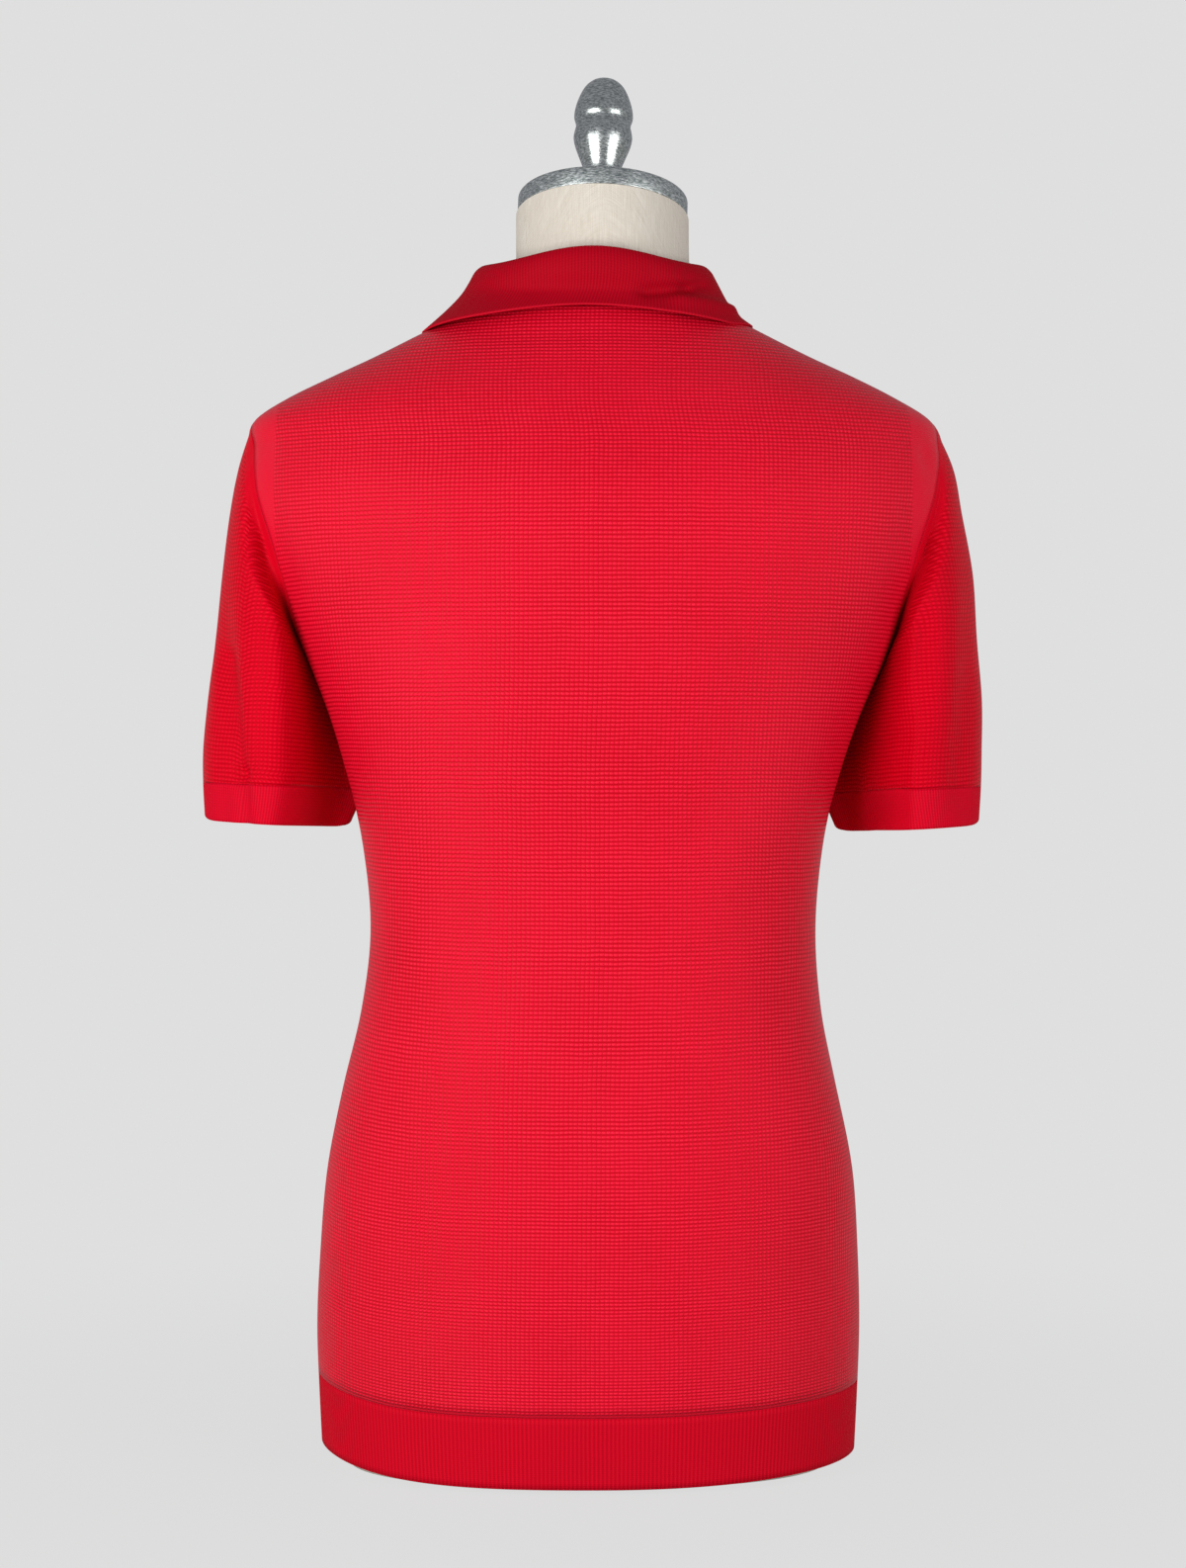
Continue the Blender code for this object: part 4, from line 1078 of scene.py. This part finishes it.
# %% Build the collar
left_front = front_grid[TOP, SHOULDER_COLUMNS : CENTRE + 1][::-1]
across_back = back_grid[TOP, SHOULDER_COLUMNS + 1 : COLUMNS - SHOULDER_COLUMNS]
right_front = front_grid[TOP, CENTRE : COLUMNS - SHOULDER_COLUMNS + 1][::-1]
neckline = np.concatenate([left_front, across_back, right_front])
neckline[0, 0], neckline[-1, 0] = COLLAR_END_GAP / 2, -COLLAR_END_GAP / 2
collar_points = collar_grid(neckline)
turned_out = -grid_normals(collar_points)  # out of the fall's visible side
fall = (np.arange(len(collar_points)) > 3 * COLLAR_STEPS)[:, None]
at_back = collar_points[..., 1] > 0
collar_points = creased(collar_points, turned_out, COLLAR_CREASES, fall & at_back)
run = np.linalg.norm(np.diff(collar_points[5 * COLLAR_STEPS], axis=0), axis=1)
collar_u = np.concatenate([[0], np.cumsum(run)])
climb = np.linalg.norm(np.diff(collar_points, axis=0), axis=-1)
collar_v = np.concatenate([np.zeros((1, climb.shape[1])), np.cumsum(climb, axis=0)])
collar_knit = np.stack([np.broadcast_to(collar_u, collar_v.shape), collar_v], axis=-1)
collar = cloth("collar_rib", drawn_back(collar_points, ("bottom",)), collar_knit,
               band_edges(collar_points, ("bottom",), "top"), collar_rib, "red_rib_knit",
               "collar", side=MIDDLE, thick=COLLAR_WALL)
print("collar", round(float(collar_v[-1].mean())), "mm deep and", round(float(collar_u[-1])),
      "mm round")

# %% [markdown]
# ## Buttons
# Three small buttons close the opening, moulded in polyester and dyed to match. Each is
# turned from a profile with a rounded rim and a shallow dish, has four holes in the dish and
# is sewn on with two strands of thread. A Screw modifier turns a profile into a solid of
# revolution, so one list of radius and height pairs is the whole shape.

# %% Turned pieces
def turned(name, profile, material, cad_node, steps):
    """A turned solid from (radius, height) pairs in mm, closed on its axis at both ends."""
    pairs = [(0.0, profile[0][1]), *profile, (0.0, profile[-1][1])]
    mesh = bpy.data.meshes.new(name)
    points = [(radius * MM, 0, height * MM) for radius, height in reversed(pairs)]
    mesh.from_pydata(points, [(i, i + 1) for i in range(len(points) - 1)], [])
    piece = visible_piece(name, mesh, material, cad_node)
    screw = piece.modifiers.new("turn", "SCREW")
    screw.steps = screw.render_steps = steps
    screw.use_merge_vertices = True
    screw.merge_threshold = 0.00001
    screw.use_smooth_shade = True
    return piece


# %% Button material and buttons
HOLE_OFFSET, HOLE_RADIUS, HOLE_BEVEL = 1.15, 0.5, 0.15  # mm


def button_plastic(name):
    """Moulded polyester: a dielectric of IOR 1.55 with a glossy, slightly cloudy skin. The
    four holes are drawn by distance from their centres, mirrored into one quarter, and are
    painted near-black as painted shade."""
    material, tree = new_material(name, {
        "Roughness": 0.24,
        "IOR": 1.55,
        "Coat Weight": 0.3,
        "Coat Roughness": 0.12,
    })
    place = node(tree, "TexCoord", output=3)
    quarter = node(tree, "VectorMath", [place], operation="ABSOLUTE")
    level = node(tree, "VectorMath", [quarter, (1, 1, 0)], operation="MULTIPLY")
    centre = (HOLE_OFFSET * MM, HOLE_OFFSET * MM, 0)
    away = node(tree, "VectorMath", [level, centre], output=1, operation="DISTANCE")
    rim = (HOLE_RADIUS + HOLE_BEVEL) * MM
    hole = node(tree, "MapRange", [away, HOLE_RADIUS * MM, rim, 0.0, 1.0])
    cloud = node(tree, "TexNoise", {"Vector": place, "Scale": 420.0, "Detail": 4.0})
    swirl = node(tree, "Mix", {0: cloud, 6: linear("#7E0A16"), 7: linear("#B81C2B")},
                 **COLOUR_MIX)
    # Painted shade: each hole is painted near-black.
    colour = node(tree, "Mix", {0: hole, 6: linear("#1C0205"), 7: swirl}, **COLOUR_MIX)
    normal = node(tree, "Bump", {"Strength": 1.0, "Distance": 0.0004, "Height": hole})
    return driven(material, {"Base Color": colour, "Normal": normal})


BUTTON_PROFILE = (
    (4.6, 0.0), (5.2, 0.25), (5.5, 0.8), (5.5, 1.4), (5.3, 1.9), (4.9, 2.2), (4.5, 2.2),
    (4.1, 2.0), (3.7, 1.7), (3.3, 1.5), (1.8, 1.45),
)
BUTTON_HEIGHTS = (676, 621, 566)
THREAD_RADIUS = 0.28
button_red = button_plastic("moulded_polyester_red")
# Twisted polyester thread. Its strands, half a millimetre apart, show as the finest of ribs.
sewing_thread = rib_knit("spun_polyester_thread_red", 0.5, 0.05, "#C0142A", "#8C0416")


def thread(name, strands, radius, material):
    """Short stitches as one bevelled curve: each strand is a list of points in mm."""
    data = bpy.data.curves.new(name, "CURVE")
    data.dimensions = "3D"
    data.bevel_depth = radius * MM
    data.bevel_resolution = 3
    data.use_fill_caps = True
    for points in strands:
        line = data.splines.new("POLY")
        line.points.add(len(points) - 1)
        for target, point in zip(line.points, points):
            target.co = (*(c * MM for c in point), 1)
    return visible_piece(name, data, material)


buttons = []
for number, height in enumerate(BUTTON_HEIGHTS, 1):
    lift = WALL + 2 * SEAM_GAP
    cut, below, above = section(height), section(height - 5), section(height + 5)
    back_tilt = math.atan2(float(below.front - above.front), 10)
    button = turned(f"button_{number}_dish", BUTTON_PROFILE, button_red,
                    f"button_{number}", 64)
    forward = float(cut.front) + lift * math.cos(back_tilt)
    button.location = [float(cut.shift) * MM, -forward * MM,
                       (height + lift * math.sin(back_tilt)) * MM]
    button.rotation_euler = (math.pi / 2 - back_tilt, 0, 0)
    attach(button, "root")
    strands = [[(x, -HOLE_OFFSET, 1.2), (x, -0.6, 1.8), (x, 0.6, 1.8), (x, HOLE_OFFSET, 1.2)]
               for x in (-HOLE_OFFSET, HOLE_OFFSET)]
    stitches = thread(f"button_{number}_thread", strands, THREAD_RADIUS, sewing_thread)
    bpy.context.view_layer.update()
    stitches.matrix_world = button.matrix_world.copy()
    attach(stitches, "root")
    buttons += [button, stitches]
print("buttons and threads", len(buttons))

# %% [markdown]
# ## The cloth's areas
# The area of each cloth piece, as it hangs, is printed. The shirt is a size whose half
# chest is 460 mm, and its pieces hang without any stretch.

for piece in (back, front, *hems, *sleeves.values(), *cuffs.values(), collar, placket_over,
              placket_under):
    area = sum(face.area for face in piece.data.polygons)
    print(piece.name, "area", round(area, 4), "square metres")

# %% [markdown]
# ## The linen dress form
# The form is a padded shell covered in natural linen, sewn with one seam down the centre
# back. Most of it is under the shirt, a few millimetres inside it. Only the neck shows. It
# is lofted through rings: the torso's are the shirt's own sections drawn in, and the neck's
# tilt forward to a slanted top.

# %% Linen
THREAD_PITCH = 1.5  # mm; real threads are 0.7 mm apart, too fine to show from here


def linen_weave(name):
    """Plain-woven flax: warp over weft, with slubs, the thick places in the yarn. Its colour
    is undyed, and the fibre is a little glossy but breaks the light up."""
    material, tree = new_material(name, {
        "Roughness": 0.9,
        "IOR": 1.5,
        "Specular IOR Level": 0.25,
        "Sheen Weight": 0.08,
        "Sheen Roughness": 0.5,
    })
    u, v, _ = cloth_lengths(tree, 0.5)
    _, seam = edge_distances(tree)
    warp, weft = wave(tree, u, THREAD_PITCH), wave(tree, v, THREAD_PITCH)
    over = node(tree, "Math", [warp, weft], operation="SUBTRACT")
    crossing = node(tree, "Math", [over], operation="ABSOLUTE")
    lengths = node(tree, "UVMap", uv_map="knit")
    streaks = []
    for scale in ((1800.0, 60.0, 1.0), (60.0, 1800.0, 1.0)):
        stretched = node(tree, "VectorMath", [lengths, scale], operation="MULTIPLY")
        streaks.append(node(tree, "TexNoise", {"Vector": stretched, "Scale": 1.0, "Detail": 2.0}))
    slubs = node(tree, "Math", streaks, operation="ADD")
    groove = seam_groove(tree, seam, 0.9)
    woven = node(tree, "Math", [slubs, 0.6, crossing], operation="MULTIPLY_ADD")
    height = node(tree, "Math", [groove, 2.2, woven], operation="MULTIPLY_ADD")
    normal = node(tree, "Bump", {"Strength": 0.45, "Distance": 0.00022, "Height": height})
    tone = node(tree, "MapRange", [slubs, 0.7, 1.3, 0.0, 1.0])
    colour = node(tree, "Mix", {0: tone, 6: linear("#CFC6B6"), 7: linear("#E6DFD2")},
                  **COLOUR_MIX)
    return driven(material, {"Base Color": colour, "Normal": normal})


linen = linen_weave("linen_plain_weave_natural")

# %% The form's rings
FORM_HEIGHTS = (
    (0, 15, 34, 70, 115, 160, 205, 250, 295, 340, 385, 425, 465)
    + (500, 535, 570, 605, 630, 648, 660, 672, 685, 698, 711, 722)
)
FORM_CLEARANCES = (  # how far inside the shirt's surface the ring at each height is
    (17, 4, 3.6, 3.6, 3.6, 3.6, 3.6, 3.6, 3.6, 3.6, 3.6, 3.6, 3.6)
    + (3.6, 3.6, 3.8, 4.2, 4.8, 5.4, 5.4, 5.4, 5.4, 5.4, 6.2, 8.0)
)
NeckRing = namedtuple("NeckRing", "height half_width shift back front slant")
NECK_RINGS = (
    NeckRing(736, 62.0, -2.5, 56.5, -51.0, 0.0),
    NeckRing(744, 57.5, -4.5, 56.8, -56.5, 0.0),
    NeckRing(757, 55.4, -6.0, 55.8, -57.5, 0.25),
    NeckRing(772, 55.1, -6.0, 54.2, -58.8, 0.65),
    NeckRing(789, 55.1, -6.0, 52.5, -60.3, 1.0),
)
NECK_TILT, NECK_LEAN = 12.5, 1.8  # degrees, to the front and to the right
FORM_COLUMNS, FORM_STEPS = 160, 5
FORM_ANGLES = 2 * math.pi * np.arange(FORM_COLUMNS) / FORM_COLUMNS
LINEN_SEAM = 1.0  # how far the linen's seam is from the form's centre back, mm


def form_ring(height, clearance):
    """A ring of the torso: the shirt's section, a clearance inside it."""
    heights = np.full(FORM_COLUMNS, float(height))
    back_side, front_side = (on_section(FORM_ANGLES, heights, facing) for facing in (1, -1))
    points = np.where((np.sin(FORM_ANGLES) >= 0)[:, None], back_side, front_side)
    _, normal = off_body(points)
    return points - clearance * normal * [1, 1, height > 0]


def neck_ring(ring):
    """A ring of the neck: an ellipse that tilts as far as its slant says."""
    y = (ring.back + ring.front) / 2 + (ring.back - ring.front) / 2 * np.sin(FORM_ANGLES)
    x = ring.shift + ring.half_width * np.cos(FORM_ANGLES)
    forward = y * math.tan(math.radians(NECK_TILT))
    sideways = (x - ring.shift) * math.tan(math.radians(NECK_LEAN))
    return np.stack([x, y, ring.height + ring.slant * (forward + sideways)], axis=-1)


# %% Loft the form
rings = [form_ring(*row) for row in zip(FORM_HEIGHTS, FORM_CLEARANCES)]
rings += [neck_ring(ring) for ring in NECK_RINGS]
form_points, _ = lofted(rings, FORM_STEPS)
closed, around = round_tube(form_points)
up = np.cumsum(np.linalg.norm(np.diff(closed, axis=0, prepend=closed[:1]), axis=-1), axis=0)
form_knit = np.stack([around - around[:, [FORM_COLUMNS // 4]], up], axis=-1)
form_edges = np.stack([0 * up, np.abs(form_knit[..., 0] + LINEN_SEAM)], axis=-1)

form_mesh = grid_mesh("form_linen", form_points, form_knit, form_edges, closed=True, lids=True)
form_mesh.set_sharp_from_angle(angle=math.radians(50))
form = visible_piece("form_linen", form_mesh, linen, "form_torso")
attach(form, "root")
print("form faces", len(form_mesh.polygons))

# %% [markdown]
# ## Neck cap and finial
# The neck ends in a turned cap of steel, brushed round its rim, and a cast and polished
# finial stands on it. Brushing leaves short scratches along the rim that catch the light one
# by one. The finial's polish is older and softer, with faint rings from turning.

# %% Two metals
def metal(name, dull, bare_and_glint, roughness, scratch_scale, relief, spread):
    """Bare steel: metallic, so only its colour, roughness and scratches are its own. dull is
    its colour where it has tarnished. The other colour is that of bare steel where a scratch
    has laid it open, and also a painted glint, as if the scratch caught the light."""
    material, tree = new_material(name, {"Metallic": 1.0})
    place = node(tree, "TexCoord", output=3)
    stretched = node(tree, "VectorMath", [place, scratch_scale], operation="MULTIPLY")
    scratches = node(tree, "TexNoise", {"Vector": stretched, "Scale": 1.0, "Detail": 4.0,
                                        "Roughness": 0.7})
    smudges = node(tree, "TexNoise", {"Vector": place, "Scale": 90.0, "Detail": 3.0})
    both = node(tree, "Math", [scratches, smudges], operation="ADD")
    rough = node(tree, "MapRange", [both, 0.7, 1.3, roughness - spread, roughness + spread])
    normal = node(tree, "Bump", {"Strength": 0.6, "Distance": relief, "Height": scratches})
    # Real wear and painted glints: the scratches are painted in the bright colour, as if each
    # caught the light.
    bright = node(tree, "MapRange", [scratches, 0.42, 0.6, 0.0, 1.0])
    tarnish_and_glints = node(tree, "Mix", {0: bright, 6: linear(dull), 7: linear(bare_and_glint)}, **COLOUR_MIX)
    return driven(material, {"Base Color": tarnish_and_glints, "Roughness": rough, "Normal": normal})


brushed_steel = metal("steel_brushed_rim", "#8C9694", "#F2F6F4", 0.38, (330.0, 330.0, 2000.0),
                      0.0003, 0.14)
polished_steel = metal("steel_polished_turned", "#939B99", "#E8ECEA", 0.24,
                       (420.0, 420.0, 1500.0), 0.00004, 0.07)

# %% Cap and finial
CAP_CENTRE = (-6.0, -3.9, 789.4)  # the middle of its underside
CAP_PROFILE = (
    (53.0, 0.0), (53.7, 0.2), (54.1, 0.6), (54.2, 1.1), (54.2, 10.6), (54.0, 11.4),
    (53.5, 12.0), (52.6, 12.3), (30.0, 13.0),
)
FINIAL_PROFILE = (
    (17.0, 0.0), (17.0, 2.6), (12.4, 5.0), (11.0, 11.0), (11.8, 19.0), (14.8, 27.5),
    (17.6, 35.0), (18.8, 40.5), (18.4, 44.5), (17.6, 48.2), (17.8, 51.0), (18.9, 55.2),
    (18.3, 61.0), (16.2, 68.0), (13.0, 74.7), (8.5, 79.2), (4.0, 80.6),
)
FINIAL_STEPS = 6  # points from one of its stem's measures to the next
FINIAL_SEAT = (1.3, 0.0, 13.3)  # on the cap's top, from the middle of its underside

stem, _ = lofted(FINIAL_PROFILE[2:], FINIAL_STEPS)
finial_profile = [(16.6, 0.0), (17.0, 0.4), (17.0, 2.2), (16.7, 2.6), *map(tuple, stem)]
cap = turned("neck_cap_steel", CAP_PROFILE, brushed_steel, "form_cap", 128)
cap.location = [value * MM for value in CAP_CENTRE]
cap.rotation_euler = (math.radians(NECK_TILT), -math.radians(NECK_LEAN), 0)
finial = turned("finial_steel", finial_profile, polished_steel,
                "form_finial", 96)
bpy.context.view_layer.update()
finial.matrix_world = cap.matrix_world @ Matrix.Translation([v * MM for v in FINIAL_SEAT])
for piece in (cap, finial):
    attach(piece, "root")
finial_top = finial.matrix_world @ Vector((0, 0, FINIAL_PROFILE[-1][1] * MM))
print("the finial's top is", round(finial_top.z, 4), "m up")

# %% [markdown]
# ## Floor, light and background
# The set is a plain pale floor that runs on into a pale background. Two large soft boxes
# stand at either side of the camera, the left one stronger, and light the shirt almost
# evenly. The floor glows a little, as a lit studio floor does, but only about half of what
# the camera sees of that glow reaches the cloth from below. The room above is dimmer than it
# looks, too. That is why the tops of the shoulders fall off in shade.

# %% Floor
BACKDROP = "#DFDFDF"
FLOOR_LIGHT = 0.45  # how much of the floor's glow reaches the cloth
FLOOR_RADIUS, FLOOR_SIDES = 12, 64
floor_mesh = bpy.data.meshes.new("floor")
turns = np.linspace(0, 2 * math.pi, FLOOR_SIDES + 1)[:-1]
ring = [(FLOOR_RADIUS * math.cos(a), FLOOR_RADIUS * math.sin(a), 0) for a in turns]
floor_mesh.from_pydata(ring, [], [list(range(FLOOR_SIDES))])
floor = bpy.data.objects.new("floor", floor_mesh)
bpy.context.scene.collection.objects.link(floor)

# Seamless background paper: matt, and so evenly lit from all sides that it seems to glow.
paper = bpy.data.materials.new("pale_paper")
paper.use_nodes = True
tree = paper.node_tree
tree.nodes.clear()
place = node(tree, "TexCoord", output=3)
far = node(tree, "VectorMath", [place], output=1, operation="LENGTH")
glow_share = node(tree, "MapRange", [far, 0.2, 1.0, 0.93, 1.0], interpolation_type="SMOOTHSTEP")
matt = node(tree, "BsdfDiffuse", {"Color": linear(BACKDROP)})
seen = node(tree, "LightPath")
strength = node(tree, "MapRange", [seen, 0.0, 1.0, FLOOR_LIGHT, 1.0])
glow = node(tree, "Emission", {"Color": linear(BACKDROP), "Strength": strength})
surface = node(tree, "MixShader", [glow_share, matt, glow])
output = tree.nodes.new("ShaderNodeOutputMaterial")
tree.links.new(surface, output.inputs["Surface"])
floor_mesh.materials.append(paper)

# %% Lights and room
BOX_DISTANCE, BOX_HEIGHT, BOX_SIZE, AIM_HEIGHT = 1.4, 0.48, 0.95, 0.44  # metres
ROOM = "#95959A"  # the light from the room around, a little cool


def soft_box(name, azimuth, power):
    """A square area light aimed at the shirt. azimuth is from +Y towards +X, in degrees."""
    data = bpy.data.lights.new(name, "AREA")
    data.shape, data.size, data.energy = "SQUARE", BOX_SIZE, power
    light = bpy.data.objects.new(name, data)
    turn = math.radians(azimuth)
    light.location = (BOX_DISTANCE * math.sin(turn), BOX_DISTANCE * math.cos(turn), BOX_HEIGHT)
    aim = Vector((0, 0, AIM_HEIGHT)) - light.location
    light.rotation_euler = aim.to_track_quat("-Z", "Y").to_euler()
    bpy.context.scene.collection.objects.link(light)


soft_box("left_box", 38, 16.4)
soft_box("right_box", -46, 8.8)

bpy.context.scene.view_settings.view_transform = "Standard"
world = bpy.data.worlds.new("room")
bpy.context.scene.world = world
world.use_nodes = True
tree = world.node_tree
tree.nodes.clear()
seen = node(tree, "LightPath")
dim = node(tree, "Background", {"Color": linear(ROOM), "Strength": 1.0})
pale = node(tree, "Background", {"Color": linear(BACKDROP), "Strength": 1.0})
mixed = node(tree, "MixShader", [seen, dim, pale])
output = tree.nodes.new("ShaderNodeOutputWorld")
tree.links.new(mixed, output.inputs["Surface"])
